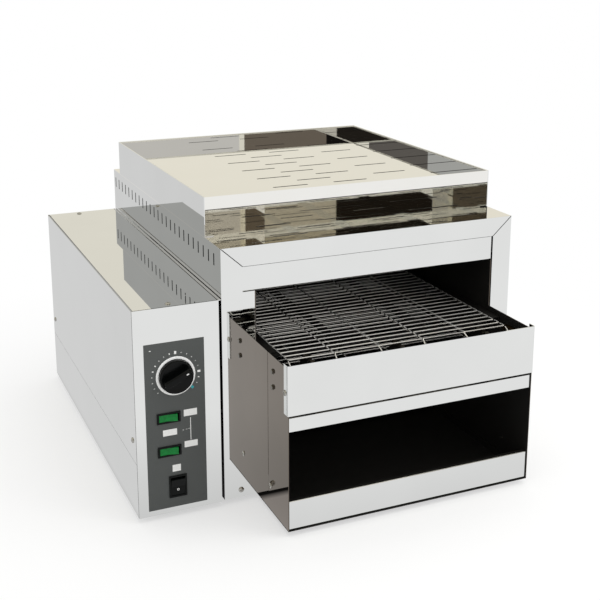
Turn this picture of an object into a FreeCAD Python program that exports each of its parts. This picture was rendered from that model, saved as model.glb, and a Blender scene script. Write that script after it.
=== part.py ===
import FreeCAD, Part
import math
import os

import Sketcher
from FreeCAD import Rotation, Vector

# Conveyor toaster: a polished steel oven body with a wire belt, a feed box in
# front, a control box on the left and a slotted warming tray on top.
# Working axes: x from the control box's left side, y from the feed box's
# front, z from the floor. Every sub-part is then shifted to the object's own
# frame, whose origin is the middle of the footprint on the floor.

doc = FreeCAD.newDocument("ConveyorToaster")
sheet = doc.addObject("Spreadsheet::Sheet", "Sizes")


class Size:
    """A length in millimetres, with the sheet expression that gives it."""

    def __init__(self, text, value):
        self.text = text
        self.value = value

    def __add__(self, other):
        other = as_size(other)
        return Size(f"({self.text} + {other.text})", self.value + other.value)

    def __radd__(self, other):
        return as_size(other) + self

    def __sub__(self, other):
        other = as_size(other)
        return Size(f"({self.text} - {other.text})", self.value - other.value)

    def __rsub__(self, other):
        return as_size(other) - self

    def __mul__(self, other):
        other = as_size(other)
        return Size(f"({self.text} * {other.text})", self.value * other.value)

    def __rmul__(self, other):
        return as_size(other) * self

    def __neg__(self):
        return self * -1

    def __truediv__(self, other):
        other = as_size(other)
        return Size(f"({self.text} / {other.text})", self.value / other.value)

    def __float__(self):
        return float(self.value)


def as_size(thing):
    if isinstance(thing, Size):
        return thing
    return Size(repr(float(thing)), float(thing))


rows = []


def size(alias, value, note):
    """One driving size: a row of the sheet with its name, number and meaning."""
    row = len(rows) + 1
    rows.append(alias)
    sheet.set(f"A{row}", alias)
    sheet.set(f"B{row}", str(value))
    sheet.set(f"C{row}", note)
    sheet.setAlias(f"B{row}", alias)
    return Size(f"Sizes.{alias}", float(value))


# Sheet metal and clearances
wall = size("sheetWall", 1.2, "sheet of the casings")
bend = size("bendRadius", 2.5, "outside radius of a folded corner")
play = size("sheetPlay", 0.4, "gap between sheets that are not in contact")
mitreGap = size("mitreGap", 1.0, "open joint between the frame members")
slideGap = size("slideGap", 0.8, "gap each side of the collecting tray")
runGap = size("runningGap", 0.08, "radial gap of a shaft in its bearing")
turnGap = size("turningGap", 0.6, "gap round a part that turns past another")
past = size("toolOverrun", 1, "how far a cutting tool runs past what it cuts")

# Control box
controlWidth = size("controlWidth", 120, "width of the control box")
controlDepth = size("controlDepth", 570, "depth of the control box")
controlHeight = size("controlHeight", 299, "height of the control box")
seamHeight = size("seamHeight", 79, "height of the cover's lower edge")
tongueRise = size("tongueRise", 46, "inner tongue of the tub above the seam")
tongueInset = size("tongueInset", 14, "inner tongue from the box's front and rear panels")
coverScrewUp = size("coverScrewUp", 29.5, "side screws of the cover above the seam")
coverScrewFront = size("coverScrewFront", 20, "front side screw behind the control front")
coverScrewTop = size("coverScrewTop", 13, "top screws from the control front and back")
coverScrewRear = size("coverScrewRear", 15, "rear side screw ahead of the control back")
flangeDepth = size("flangeDepth", 20, "fold of the control box's front and rear panels")
flangeInset = size("flangeInset", 3.4, "fold from the control box's sides")
topScrewAcross = size("topScrewAcross", 53, "top screws from the control box's left side")
ventRise = size("controlVentHeight", 190, "control box vents over the base")
ventAcross = size("controlVentAcross", 24, "first control box vent from the left side")
controlLead = size("controlLead", 3, "control front ahead of the body front")
boxGap = size("boxGap", 5, "gap between control box and body")
spacerRadius = size("spacerRadius", 8, "radius of the hexagonal posts between box and body")
spacerInset = size("spacerInset", 80, "posts from the body's front and back")
spacerLow = size("spacerLow", 60, "lower posts over the base")
spacerDrop = size("spacerDrop", 49, "upper posts below the control box's top")
footHeight = size("footHeight", 8, "height of the rubber feet")
footRadius = size("footRadius", 16, "radius of the rubber feet")
footInset = size("footInset", 46, "foot centre from the casing's edges")

# Body
bodyWidth = size("bodyWidth", 462, "width of the oven body")
bodyDepth = size("bodyDepth", 580, "depth of the oven body")
bodyHeight = size("bodyHeight", 369, "height of the oven body")
frameSide = size("frameSide", 31, "width of the front frame's side members")
frameTop = size("frameTop", 28, "height of the front frame's top member")
frameReturn = size("frameReturn", 14, "depth of the frame's inner folds")
recess = size("panelRecess", 1.5, "hood and jamb behind the frame's face")
jambWidth = size("jambWidth", 18, "width of the strip left of the mouth")
hoodSlit = size("hoodSlit", 2, "open slit at the hood's right end")
hoodGap = size("hoodGap", 1, "open joint between the frame's top member and the hood")
hoodHeight = size("hoodHeight", 35, "height of the hood panel")
hoodLedge = size("hoodLedge", 25, "fold under the hood")
panRise = size("panRise", 30, "height of the base pan's folds")
lidLip = size("lidLip", 12, "fold of the top plate inside the side panels")
frameScrewIn = size("frameScrewIn", 6, "frame screw from the member's inner edge")
frameScrewUp = size("frameScrewUp", 11, "frame screw over the base")

# Vents
ventPitch = size("ventPitch", 22.5, "pitch of the side vents")
ventWidth = size("ventWidth", 4, "width of a side vent")
ventHeight = size("ventHeight", 17, "height of a side vent")
ventDrop = size("ventDrop", 13, "top of a vent below the body's top")
ventStart = size("ventStart", 28, "first vent behind the body front")
ventEnd = size("ventEnd", 12, "least room behind the last side vent")
rearVentPitch = size("rearVentPitch", 24, "pitch of the rear vents")
rearVentHeight = size("rearVentHeight", 40, "height of a rear vent")
rearVentSide = size("rearVentSide", 45, "least room beside the rear vents")
rearVentDrop = size("rearVentDrop", 40, "upper rear vents below the top plate")
rearVentLift = size("rearVentLift", 60, "lower rear vents over the base")

# Feed box and conveyor frame
feedReach = size("feedReach", 117, "feed box ahead of the body front")
feedHeight = size("feedHeight", 232, "height of the feed box sides")
chamberHeight = size("chamberHeight", 340, "height of the toasting chamber")
plateRear = size("plateRear", 45, "plate end ahead of the body back")
apronHeight = size("apronHeight", 70, "height of the feed apron")
apronRise = size("apronRise", 5, "apron above the feed box sides")
apronReturn = size("apronReturn", 13, "fold of the apron along the sides")
apronScrewSet = size("apronScrewSet", 9.5, "apron screws behind the apron's face")
apronScrewDrop = size("apronScrewDrop", 34.8, "apron screws below the feed box's top")
railHeight = size("railHeight", 21, "height of the rail under the apron")
railDepth = size("railDepth", 14, "depth of the rail's flanges")
railSetback = size("railSetback", 3, "rail and tray lip behind the apron")
railDrop = size("railDrop", 2.5, "slit between apron and rail")
railSlope = size("railSlope", 3, "fall of the rail's upper flange")
lipHeight = size("lipHeight", 43, "height of the collecting tray's lip")
lipHem = size("lipHem", 7, "folded hem on the tray's lip")
trayLength = size("trayLength", 300, "length of the collecting tray")
trayBack = size("trayBack", 12, "height of the collecting tray's other walls")
trayLift = size("trayLift", 0.4, "collecting tray above the feed floor")

# Belt and shafts
beltPitch = size("beltPitch", 14.24, "pitch of the belt's wires")
rearRoom = size("rearRoom", 101, "least room behind the rear shaft")
sprocketTeeth = 12
boreSides = 12
beltWire = size("beltWire", 2, "thickness of the belt's wire")
beltMargin = size("beltMargin", 16.8, "room beside the belt")
beltSpaces = 5
beltLean = size("beltLean", 1.2, "half the lean of a belt link along its row")
shaftHeight = size("shaftHeight", 199, "height of the shaft centres over the base")
frontShaftSet = size("frontShaftSet", 54, "front shaft behind the feed front")
shaftRadius = size("shaftRadius", 6, "radius of the conveyor shafts")
toothClear = size("toothClear", 0.6, "sprocket tooth below the belt's wires")
toothDepth = size("toothDepth", 5, "depth of a sprocket tooth")
toothRoot = size("toothRoot", 8, "width of a sprocket tooth at its root")
toothTip = size("toothTip", 4.5, "width of a sprocket tooth at its tip")
sprocketWidth = size("sprocketWidth", 6, "width of a belt sprocket")
bearingWidth = size("bearingWidth", 8, "thickness of a flange bearing")
bearingLong = size("bearingLong", 40, "height of a flange bearing")
bearingShort = size("bearingShort", 24, "width of a flange bearing")
boltSpacing = size("boltSpacing", 22.4, "spacing of a bearing's two bolts")
boltRadius = size("boltRadius", 2, "radius of a bearing bolt")
boltHead = size("boltHead", 3.6, "radius of a bolt head")
boltHeadHigh = size("boltHeadHigh", 2.4, "height of a bolt head")
railThick = size("railThick", 2, "thickness of a belt rail")
railTall = size("railTall", 12, "height of a belt rail")
crossRadius = size("crossRadius", 4, "radius of the belt rails' cross bars")
crossInset = size("crossInset", 20, "cross bars from the belt rails' ends")
railStart = size("railStart", 12, "belt rails behind the sprockets")
beltClear = size("beltClear", 0.3, "belt above its rails")
shaftEndGap = size("shaftEndGap", 1, "shaft end from the side plate")
guideWidth = size("guideWidth", 20, "width of the belt's edge guides")
guideTall = size("guideTall", 11, "height of the belt's edge guides")
guideLead = size("guideLead", 8, "edge guides beyond the belt rails' ends")

# Heaters
elementRadius = size("elementRadius", 4, "radius of a heating element")
elementPitch = size("elementPitch", 120, "pitch of the heating elements")
elementDrop = size("elementDrop", 16, "upper elements below the chamber's top")
elementStart = size("elementStart", 60, "first element behind the body front")
elementOverhang = size("elementOverhang", 6, "element beyond its collar")
collarRadius = size("collarRadius", 8, "radius of a ceramic collar")
collarLength = size("collarLength", 16, "length of a ceramic collar")
reflectorSide = size("reflectorSide", 10, "reflector beyond the side plates")

# Return path of the toast
deflectorRadius = size("deflectorRadius", 42, "inner radius of the rear deflector")
chuteDrop = size("chuteDrop", 60, "height of the chute's rear end over the base")
chuteRise = size("chuteRise", 20, "height of the chute's front end over the base")
chuteFront = size("chuteFront", 250, "chute's front end behind the feed front")
chuteLip = size("chuteLip", 20, "fold at the chute's rear end")

# Warming tray
warmWidth = size("warmWidth", 462, "width of the warming tray")
warmDepth = size("warmDepth", 471, "depth of the warming tray")
warmSet = size("warmSet", 66, "warming tray behind the body front")
warmHeight = size("warmHeight", 57, "height of the warming tray")
warmRim = size("warmRim", 18, "height of the tray's rim over its floor")
warmFoot = size("warmFoot", 12, "foot flange of the tray's walls")
slotLength = size("slotLength", 57, "length of a slot in the tray floor")
slotWidth = size("slotWidth", 4, "width of a slot in the tray floor")
slotPitch = size("slotPitch", 33.5, "pitch of the slot rows")
slotStart = size("slotStart", 28, "first slot row behind the tray's front")
slotInner = size("slotInner", 86, "inner slots of a four-slot row from the centre")
slotOuter = size("slotOuter", 187, "outer slots of a four-slot row from the centre")
slotAside = size("slotAside", 133, "outer slots of a three-slot row from the centre")
slotRows = 13

# Front controls
overlayWidth = size("overlayWidth", 84, "width of the control overlay")
overlayHeight = size("overlayHeight", 242, "height of the control overlay")
overlayLeft = size("overlayLeft", 14, "overlay's left edge")
overlayFoot = size("overlayFoot", 8, "overlay's lower edge over the base")
overlayThick = size("overlayThick", 0.5, "thickness of the overlay")
dialX = size("dialAcross", 57, "dial centre from the left side")
dialZ = size("dialHeight", 201, "dial centre over the base")
dialRing = size("dialRing", 27.5, "outer radius of the dial ring")
dialRingWide = size("dialRingWide", 3.2, "width of the dial ring")
dialRingThick = size("dialRingThick", 1.4, "thickness of the dial ring")
knobDepth = size("knobDepth", 7, "depth of the knob's disc")
gripDepth = size("gripDepth", 9, "grip ahead of the knob's disc")
gripWidth = size("gripWidth", 13, "width of the grip at its root")
gripInset = size("gripInset", 2.5, "grip inside the knob's edge")
gripRound = size("gripRound", 2, "rounding of the grip's edges")
gripLean = 65
spindleRadius = size("spindleRadius", 3, "radius of the regulator's spindle")
spindleLong = size("spindleLong", 8, "spindle inside the knob")
regulatorSide = size("regulatorSide", 28, "side of the regulator's case")
regulatorDeep = size("regulatorDeep", 18, "depth of the regulator's case")
bushWall = size("bushWall", 2, "wall of the regulator's bush")
bushLong = size("bushLong", 6, "regulator's bush behind the control front")
bushGap = size("bushGap", 0.1, "regulator's bush behind the overlay's face")
greenX = size("greenAcross", 45.5, "green rockers' centre from the left side")
upperGreenZ = size("upperGreenHeight", 142, "upper green rocker over the base")
lowerGreenZ = size("lowerGreenHeight", 93, "lower green rocker over the base")
greenWide = size("greenWide", 33, "width of a green rocker's bezel")
greenHigh = size("greenHigh", 15, "height of a green rocker's bezel")
mainX = size("mainAcross", 56, "main switch's centre from the left side")
mainZ = size("mainHeight", 39, "main switch over the base")
mainWide = size("mainWide", 25, "width of the main switch's bezel")
mainHigh = size("mainHigh", 32, "height of the main switch's bezel")
bezelThick = size("bezelThick", 1.8, "bezel ahead of the overlay")
bezelRim = size("bezelRim", 2.3, "width of a bezel round its rocker")
switchWall = size("switchWall", 1, "wall of a switch case")
switchDepth = size("switchDepth", 20, "depth of a switch case")
rockerPlay = size("rockerPlay", 1.6, "gap at the ends of a rocker")
rockerSide = size("rockerSide", 0.3, "gap along the sides of a rocker")
rockerTilt = 8
rockerHub = size("rockerHub", 4, "radius of a rocker's hub")
rockerSkirt = size("rockerSkirt", 4.5, "depth of a rocker at its ends")
rockerRise = size("rockerRise", 1.2, "middle of a rocker ahead of the overlay")
pivotDepth = size("pivotDepth", 4, "rocker pivot behind the control front")

# Drive
driveSprocketX = size("driveSprocketAcross", 92, "chain plane from the left side")
drivenTeeth = 16
motorTeeth = 12
arcLinks = 14
chainPitch = size("chainPitch", 9.525, "pitch of the drive chain")
chainToothHigh = size("chainToothHeight", 2, "chain sprocket tooth above the pitch circle")
chainToothDeep = size("chainToothDepth", 3, "chain sprocket root below the pitch circle")
chainToothRoot = size("chainToothRoot", 5.5, "width of a chain sprocket tooth at its root")
chainToothTip = size("chainToothTip", 2.5, "width of a chain sprocket tooth at its tip")
chainGap = size("chainGap", 0.6, "chain outside the sprocket teeth")
chainThick = size("chainThick", 3, "thickness of the drive chain")
chainWidth = size("chainWidth", 7, "width of the drive chain")
motorForward = size("motorForward", 90, "motor shaft ahead of the drive shaft")
motorLift = size("motorLift", 90, "motor shaft over the base")
motorShaftRadius = size("motorShaftRadius", 4, "radius of the motor shaft")
gearboxSide = size("gearboxSide", 70, "side of the gearbox")
gearboxDeep = size("gearboxDeep", 34, "depth of the gearbox")
gearboxGap = size("gearboxGap", 6, "gearbox from the drive chain")
motorShaftSeat = size("motorShaftSeat", 8, "motor shaft inside the gearbox")
bracketThick = size("bracketThick", 3, "plate of the motor bracket")
shaftBeyond = size("shaftBeyond", 6, "drive shaft past the chain plane")
motorRadius = size("motorRadius", 26, "radius of the motor")
motorLong = size("motorLong", 24, "length of the motor")
glandRadius = size("glandRadius", 10, "radius of the cable gland")
glandLong = size("glandLong", 13, "gland outside the rear panel")
glandZ = size("glandHeight", 40, "cable gland over the base")
glandFlange = size("glandFlange", 3, "thickness of the gland's flange")
glandStem = size("glandStem", 8, "gland inside the rear panel")
terminalSide = size("terminalSide", 20, "terminal block from the box's sides")
terminalBack = size("terminalBack", 50, "terminal block ahead of the control back")
terminalDeep = size("terminalDeep", 30, "depth of the terminal block")
terminalHigh = size("terminalHigh", 26, "height of the terminal block")
screwHead = size("screwHead", 4, "radius of a casing screw's head")
screwHeadHigh = size("screwHeadHigh", 2, "height of a casing screw's head")
screwShank = size("screwShank", 1.8, "radius of a casing screw's shank")
screwHole = size("screwHole", 2.1, "radius of a casing screw's hole")
screwLong = size("screwLong", 6, "length of a casing screw's shank")
feedScrewSet = size("feedScrewSet", 64, "feed box screws behind the feed front")
feedScrewUp = size("feedScrewHeight", 38, "feed box screws over the base")

# Places that several sub-parts share
base = footHeight
bodyLeft = controlWidth + boxGap
bodyRight = bodyLeft + bodyWidth
bodyFront = feedReach
bodyBack = bodyFront + bodyDepth
bodyTop = base + bodyHeight
controlFront = bodyFront - controlLead
controlBack = controlFront + controlDepth
controlTop = base + controlHeight
mouthLeft = bodyLeft + frameSide + jambWidth
mouthRight = bodyRight - frameSide - hoodSlit
hoodTop = bodyTop - frameTop - hoodGap
hoodFoot = hoodTop - hoodHeight
feedTop = base + feedHeight
plateLeft = mouthLeft
plateRight = mouthRight
insideLeft = plateLeft + wall
insideRight = plateRight - wall
plateBack = bodyBack - plateRear
shaftZ = base + shaftHeight
frontShaftY = frontShaftSet
beltRun = int(float(bodyBack - rearRoom - frontShaftSet) // float(beltPitch))
rearShaftY = frontShaftSet + beltPitch * beltRun
beltWidth = insideRight - insideLeft - beltMargin * 2
beltLeft = insideLeft + beltMargin
beltSpace = beltWidth / beltSpaces
half_step = math.pi / sprocketTeeth
beltRadius = beltPitch / (2 * math.sin(half_step))
beltRise = beltRadius * math.cos(half_step)
warmLeft = bodyLeft
warmRight = warmLeft + warmWidth
warmFront = bodyFront + warmSet
warmBack = warmFront + warmDepth
warmTop = bodyTop + warmHeight
warmFloor = warmTop - warmRim
apronTop = feedTop + apronRise
apronFoot = apronTop - apronHeight
overlayFace = controlFront - overlayThick
ventCount = int(float(bodyDepth - ventStart - ventEnd) // float(ventPitch)) + 1
rearVentCount = int(float(bodyWidth - rearVentSide * 2) // float(rearVentPitch)) + 1
elementRoom = float(bodyDepth - plateRear - elementStart * 2)
elementCount = int(elementRoom // float(elementPitch)) + 1
centreX = (bodyRight - screwHeadHigh) / 2
centreY = bodyBack / 2

nodes = []


def bind(thing, path, length):
    thing.setExpression(path, as_size(length).text)


def place(thing, x, y, z, turn=None):
    """Placement in the object's frame of a thing at x, y, z of the working axes."""
    place_x = as_size(x) - centreX
    place_y = as_size(y) - centreY
    place_z = as_size(z)
    thing.Placement = FreeCAD.Placement(
        Vector(float(place_x), float(place_y), float(place_z)), turn or Rotation())
    bind(thing, "Placement.Base.x", place_x)
    bind(thing, "Placement.Base.y", place_y)
    bind(thing, "Placement.Base.z", place_z)


def keep(thing, label):
    """Marks a finished sub-part and gives it its name."""
    thing.Label = label
    nodes.append(thing)
    return thing


def block(name, x, y, z):
    """A box from its low and high ends along each working axis."""
    thing = doc.addObject("Part::Box", name)
    bind(thing, "Length", as_size(x[1]) - x[0])
    bind(thing, "Width", as_size(y[1]) - y[0])
    bind(thing, "Height", as_size(z[1]) - z[0])
    place(thing, x[0], y[0], z[0])
    return thing


turns = {
    "X": Rotation(Vector(0, 1, 0), 90),
    "Y": Rotation(Vector(1, 0, 0), -90),
    "Z": Rotation(),
}


def spot(axis, along, centre):
    """A point from its coordinate along one axis and the two across it."""
    if axis == "X":
        return along, centre[0], centre[1]
    if axis == "Y":
        return centre[0], along, centre[1]
    return centre[0], centre[1], along


def rod(name, axis, centre, low, high, radius):
    """A cylinder along an axis, from low to high."""
    thing = doc.addObject("Part::Cylinder", name)
    bind(thing, "Radius", radius)
    bind(thing, "Height", as_size(high) - low)
    place(thing, *spot(axis, low, centre), turns[axis])
    return thing


def prism(name, axis, centre, low, high, radius, sides=8):
    """A bar of regular section along an axis, for hexagons and small round pieces."""
    thing = doc.addObject("Part::Prism", name)
    thing.Polygon = sides
    bind(thing, "Circumradius", radius)
    bind(thing, "Height", as_size(high) - low)
    place(thing, *spot(axis, low, centre), turns[axis])
    return thing


def fuse(name, things):
    thing = doc.addObject("Part::MultiFuse", name)
    thing.Shapes = things
    return thing


def cut(name, stock, tools):
    thing = doc.addObject("Part::Cut", name)
    thing.Base = stock
    thing.Tool = tools[0] if len(tools) == 1 else fuse(name + "_tools", tools)
    return thing


def common(name, first, second):
    thing = doc.addObject("Part::Common", name)
    thing.Base = first
    thing.Tool = second
    return thing


def origin_part(body, role):
    return next(f for f in body.Origin.OriginFeatures if f.Role == role)


def pin_point(sketch, line, end, point):
    """Ties one end of a sketch line to a point of the working axes."""
    for kind, where in (("DistanceX", point[0]), ("DistanceY", point[1])):
        index = sketch.addConstraint(
            Sketcher.Constraint(kind, -1, 1, line, end, float(as_size(where))))
        bind(sketch, f"Constraints[{index}]", where)


def draw_loop(sketch, points):
    """A closed outline of straight lines through the points."""
    first = sketch.GeometryCount
    count = len(points)
    corners = [Vector(float(as_size(p[0])), float(as_size(p[1])), 0) for p in points]
    for i in range(count):
        sketch.addGeometry(Part.LineSegment(corners[i], corners[(i + 1) % count]), False)
    for i in range(count):
        joined = first + (i + 1) % count
        sketch.addConstraint(Sketcher.Constraint("Coincident", first + i, 2, joined, 1))
    for i in range(count):
        pin_point(sketch, first + i, 1, points[i])


def new_sketch(body, name, plane):
    sketch = body.newObject("Sketcher::SketchObject", name)
    sketch.AttachmentSupport = [(origin_part(body, plane + "_Plane"), "")]
    sketch.MapMode = "FlatFace"
    return sketch


def outline(name, plane, points, low, high):
    """A body: a closed outline on a plane, padded from low to high across it."""
    body = doc.addObject("PartDesign::Body", name)
    sketch = new_sketch(body, name + "_outline", plane)
    draw_loop(sketch, points)
    pad = body.newObject("PartDesign::Pad", name + "_pad")
    pad.Profile = sketch
    bind(pad, "Length", as_size(high) - low)
    if plane == "XY":
        place(body, 0, 0, low)
    elif plane == "XZ":
        place(body, 0, high, 0)
    else:
        place(body, low, 0, 0)
    return body


def round_bends(body, plane, bends, radius):
    """Rounds the folded edges of a padded outline at the given outline points."""
    doc.recompute()
    across = {"XY": 2, "XZ": 1, "YZ": 0}[plane]
    flat = [i for i in range(3) if i != across]
    names = []
    for index, edge in enumerate(body.Tip.Shape.Edges):
        start, end = edge.Vertexes[0].Point, edge.Vertexes[-1].Point
        if any(abs(start[i] - end[i]) > 1e-6 for i in flat):
            continue
        for point in bends:
            if all(abs(start[flat[k]] - float(as_size(point[k]))) < 1e-4 for k in (0, 1)):
                names.append(f"Edge{index + 1}")
    before = body.Tip
    fillet = body.newObject("PartDesign::Fillet", body.Name + "_bend")
    fillet.Base = (before, names)
    bind(fillet, "Radius", radius)
    body.Tip = fillet


def pierce(body, name, plane, loops, pattern=None):
    """Cuts outlines through a body, and repeats them along an axis."""
    sketch = new_sketch(body, name, plane)
    for loop in loops:
        draw_loop(sketch, loop)
    pocket = body.newObject("PartDesign::Pocket", name + "_cut")
    pocket.Profile = sketch
    pocket.Type = 1
    pocket.Midplane = True
    body.Tip = pocket
    if pattern:
        axis, pitch, count = pattern
        doc.recompute()
        repeat = body.newObject("PartDesign::LinearPattern", name + "_row")
        repeat.Originals = [pocket]
        repeat.Direction = (origin_part(body, axis + "_Axis"), [""])
        bind(repeat, "Length", pitch * (count - 1))
        repeat.Occurrences = count
        body.Tip = repeat


def rectangle(a, b):
    """The four corners of a rectangle from its low and high ends each way."""
    return [(a[0], b[0]), (a[1], b[0]), (a[1], b[1]), (a[0], b[1])]


def span(middle, width):
    half = as_size(width) / 2
    return middle - half, middle + half


def screw(name, axis, out, centre, seat):
    """A casing screw: a head on its seat and a shank through the sheet."""
    top = as_size(seat) + out * screwHeadHigh
    tail = as_size(seat) - out * screwLong
    head_ends = (seat, top) if out > 0 else (top, seat)
    shank_ends = (tail, seat) if out > 0 else (seat, tail)
    return [prism(name + "_head", axis, centre, *head_ends, screwHead),
            prism(name + "_shank", axis, centre, *shank_ends, screwShank, 6)]


casing_screws = []


def add_screw(axis, out, centre, seat):
    """One more of the identical casing screws, which share a sub-part."""
    name = f"casing_screw_{len(casing_screws) // 2}"
    casing_screws.extend(screw(name, axis, out, centre, seat))


# Body casing

def make_casing():
    inner_left = bodyLeft + wall
    inner_right = bodyRight - wall
    lid = bodyTop - wall
    pan_rise = base + panRise
    pan_front = bodyFront + wall
    pan_back = bodyBack - wall
    pan = outline("base_pan_u", "XZ", [
        (inner_left, base), (inner_right, base), (inner_right, pan_rise),
        (inner_right - wall, pan_rise), (inner_right - wall, base + wall),
        (inner_left + wall, base + wall), (inner_left + wall, pan_rise),
        (inner_left, pan_rise)], pan_front, pan_back)
    keep(pan, "base_pan")

    for label, low in (("left_side_panel", bodyLeft), ("right_side_panel", bodyRight - wall)):
        panel = outline(label + "_sheet", "YZ",
                        rectangle((bodyFront + wall, bodyBack), (base, lid)), low, low + wall)
        vent = rectangle(span(bodyFront + ventStart, ventWidth),
                         (bodyTop - ventDrop - ventHeight, bodyTop - ventDrop))
        pierce(panel, label + "_vent", "YZ", [vent], ("Y", ventPitch, ventCount))
        if low is bodyLeft:
            bore = prism("left_side_shaft_hole", "X", (rearShaftY, shaftZ),
                         low - past, low + wall + past, shaftRadius * 2, 12)
            panel = cut(label + "_drilled", panel, [bore])
        keep(panel, label)

    lid_points = [
        (bodyLeft, lid), (inner_left, lid), (inner_left, lid - lidLip),
        (inner_left + wall, lid - lidLip), (inner_left + wall, lid),
        (inner_right - wall, lid), (inner_right - wall, lid - lidLip),
        (inner_right, lid - lidLip), (inner_right, lid), (bodyRight, lid),
        (bodyRight, bodyTop), (bodyLeft, bodyTop)]
    keep(outline("top_plate_u", "XZ", lid_points, bodyFront + wall, bodyBack), "top_plate")

    notch = wall + play
    shoulder = lid - lidLip - play
    back = outline("back_panel_sheet", "XZ", [
        (inner_left, base), (inner_right, base), (inner_right, shoulder),
        (inner_right - notch, shoulder), (inner_right - notch, lid),
        (inner_left + notch, lid), (inner_left + notch, shoulder), (inner_left, shoulder)],
        bodyBack - wall, bodyBack)
    first = inner_left + (bodyWidth - 2 * wall - rearVentPitch * (rearVentCount - 1)) / 2
    pierce(back, "back_vent", "XZ",
           [rectangle(span(first, ventWidth),
                      (lid - rearVentDrop - rearVentHeight, lid - rearVentDrop)),
            rectangle(span(first, ventWidth),
                      (base + rearVentLift, base + rearVentLift + rearVentHeight))],
           ("X", rearVentPitch, rearVentCount))
    keep(back, "back_panel")


# Front frame of three mitred members, with the hood and the strip beside the mouth

def make_front():
    face = (bodyFront, bodyFront + wall)
    fold = (bodyFront + wall, bodyFront + frameReturn)
    inner_top = bodyTop - frameTop
    left_in = bodyLeft + frameSide
    right_in = bodyRight - frameSide

    left = outline("frame_left_face", "XZ", [
        (bodyLeft, base), (left_in, base), (left_in, inner_top), (bodyLeft, bodyTop)], *face)
    left_fold = block("frame_left_fold", (left_in - wall, left_in), fold,
                      (base + wall, inner_top))
    seat = (left_in - frameScrewIn, base + frameScrewUp)
    hole = prism("frame_left_hole", "Y", seat, bodyFront - past, bodyFront + wall + past,
                 screwHole)
    add_screw("Y", -1, seat, bodyFront)
    keep(cut("frame_left", fuse("frame_left_stock", [left, left_fold]), [hole]),
         "front_frame_left")

    right = outline("frame_right_face", "XZ", [
        (bodyRight, base), (bodyRight, bodyTop), (right_in, inner_top), (right_in, base)], *face)
    right_fold = block("frame_right_fold", (right_in, right_in + wall), fold,
                       (base + wall, inner_top))
    keep(fuse("frame_right", [right, right_fold]), "front_frame_right")

    top = outline("frame_top_face", "XZ", [
        (bodyLeft + mitreGap, bodyTop), (left_in + mitreGap, inner_top),
        (right_in - mitreGap, inner_top), (bodyRight - mitreGap, bodyTop)], *face)
    top_fold = block("frame_top_fold", (left_in + mitreGap, right_in - mitreGap), fold,
                     (inner_top, inner_top + wall))
    keep(fuse("frame_top", [top, top_fold]), "front_frame_top")

    near = bodyFront + recess
    hood = outline("hood_panel_z", "YZ", [
        (near, hoodFoot), (near + hoodLedge, hoodFoot), (near + hoodLedge, hoodFoot + wall),
        (near + wall, hoodFoot + wall), (near + wall, hoodTop - wall),
        (near + hoodLedge, hoodTop - wall), (near + hoodLedge, hoodTop), (near, hoodTop)],
        left_in, right_in - hoodSlit)
    round_bends(hood, "YZ", [(near, hoodFoot)], wall)
    keep(hood, "hood_panel")

    jamb_face = bodyFront + recess / 2
    jamb = outline("left_jamb_z", "XY", [
        (left_in, jamb_face), (mouthLeft, jamb_face), (mouthLeft, jamb_face + frameReturn),
        (mouthLeft - wall, jamb_face + frameReturn), (mouthLeft - wall, jamb_face + wall),
        (left_in, jamb_face + wall)], base + wall, hoodFoot - play)
    keep(jamb, "left_jamb")


# Conveyor side plates with the feed box in front and the chamber inside the body

def element_spots():
    """Centres (y, z) of the upper elements, then of the lower ones between the runs."""
    upper = [(bodyFront + elementStart + elementPitch * i, base + chamberHeight - elementDrop)
             for i in range(elementCount)]
    lower = [(bodyFront + elementStart + elementPitch * i, shaftZ)
             for i in range(elementCount - 1)]
    return upper + lower


def make_plates():
    front = wall
    step = bodyFront + hoodLedge + recess + play
    top = base + chamberHeight - wall
    profile = [(front, base + wall), (plateBack, base + wall), (plateBack, top), (step, top),
               (step, hoodFoot - play), (bodyFront, hoodFoot - play), (bodyFront, feedTop),
               (front, feedTop)]
    for side, low in (("left", plateLeft), ("right", plateRight - wall)):
        plate = outline(f"side_plate_{side}_sheet", "YZ", profile, low, low + wall)
        holes = []
        reach = (low - past, low + wall + past)
        for number, spot_yz in enumerate(element_spots()):
            holes.append(prism(f"{side}_collar_hole_{number}", "X", spot_yz, *reach,
                               collarRadius, 6))
        for name, y in (("front", frontShaftY), ("rear", rearShaftY)):
            for sign in (-1, 1):
                holes.append(prism(f"{side}_{name}_bolt_hole_{sign + 1}", "X",
                                   (y, shaftZ + boltSpacing / 2 * sign), *reach, boltRadius))
        if side == "left":
            holes.append(prism("left_drive_shaft_hole", "X", (rearShaftY, shaftZ), *reach,
                               shaftRadius + past, 12))
        holes.append(prism(f"{side}_apron_screw_hole", "X",
                           (apronScrewSet, feedTop - apronScrewDrop), *reach, screwHole))
        seat = (feedScrewSet, base + feedScrewUp)
        holes.append(prism(f"{side}_front_screw_hole", "X", seat, *reach, screwHole))
        add_screw("X", -1 if side == "left" else 1, seat,
                  plateLeft if side == "left" else plateRight)
        keep(cut(f"side_plate_{side}_drilled", plate, holes), f"conveyor_side_{side}")


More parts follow.
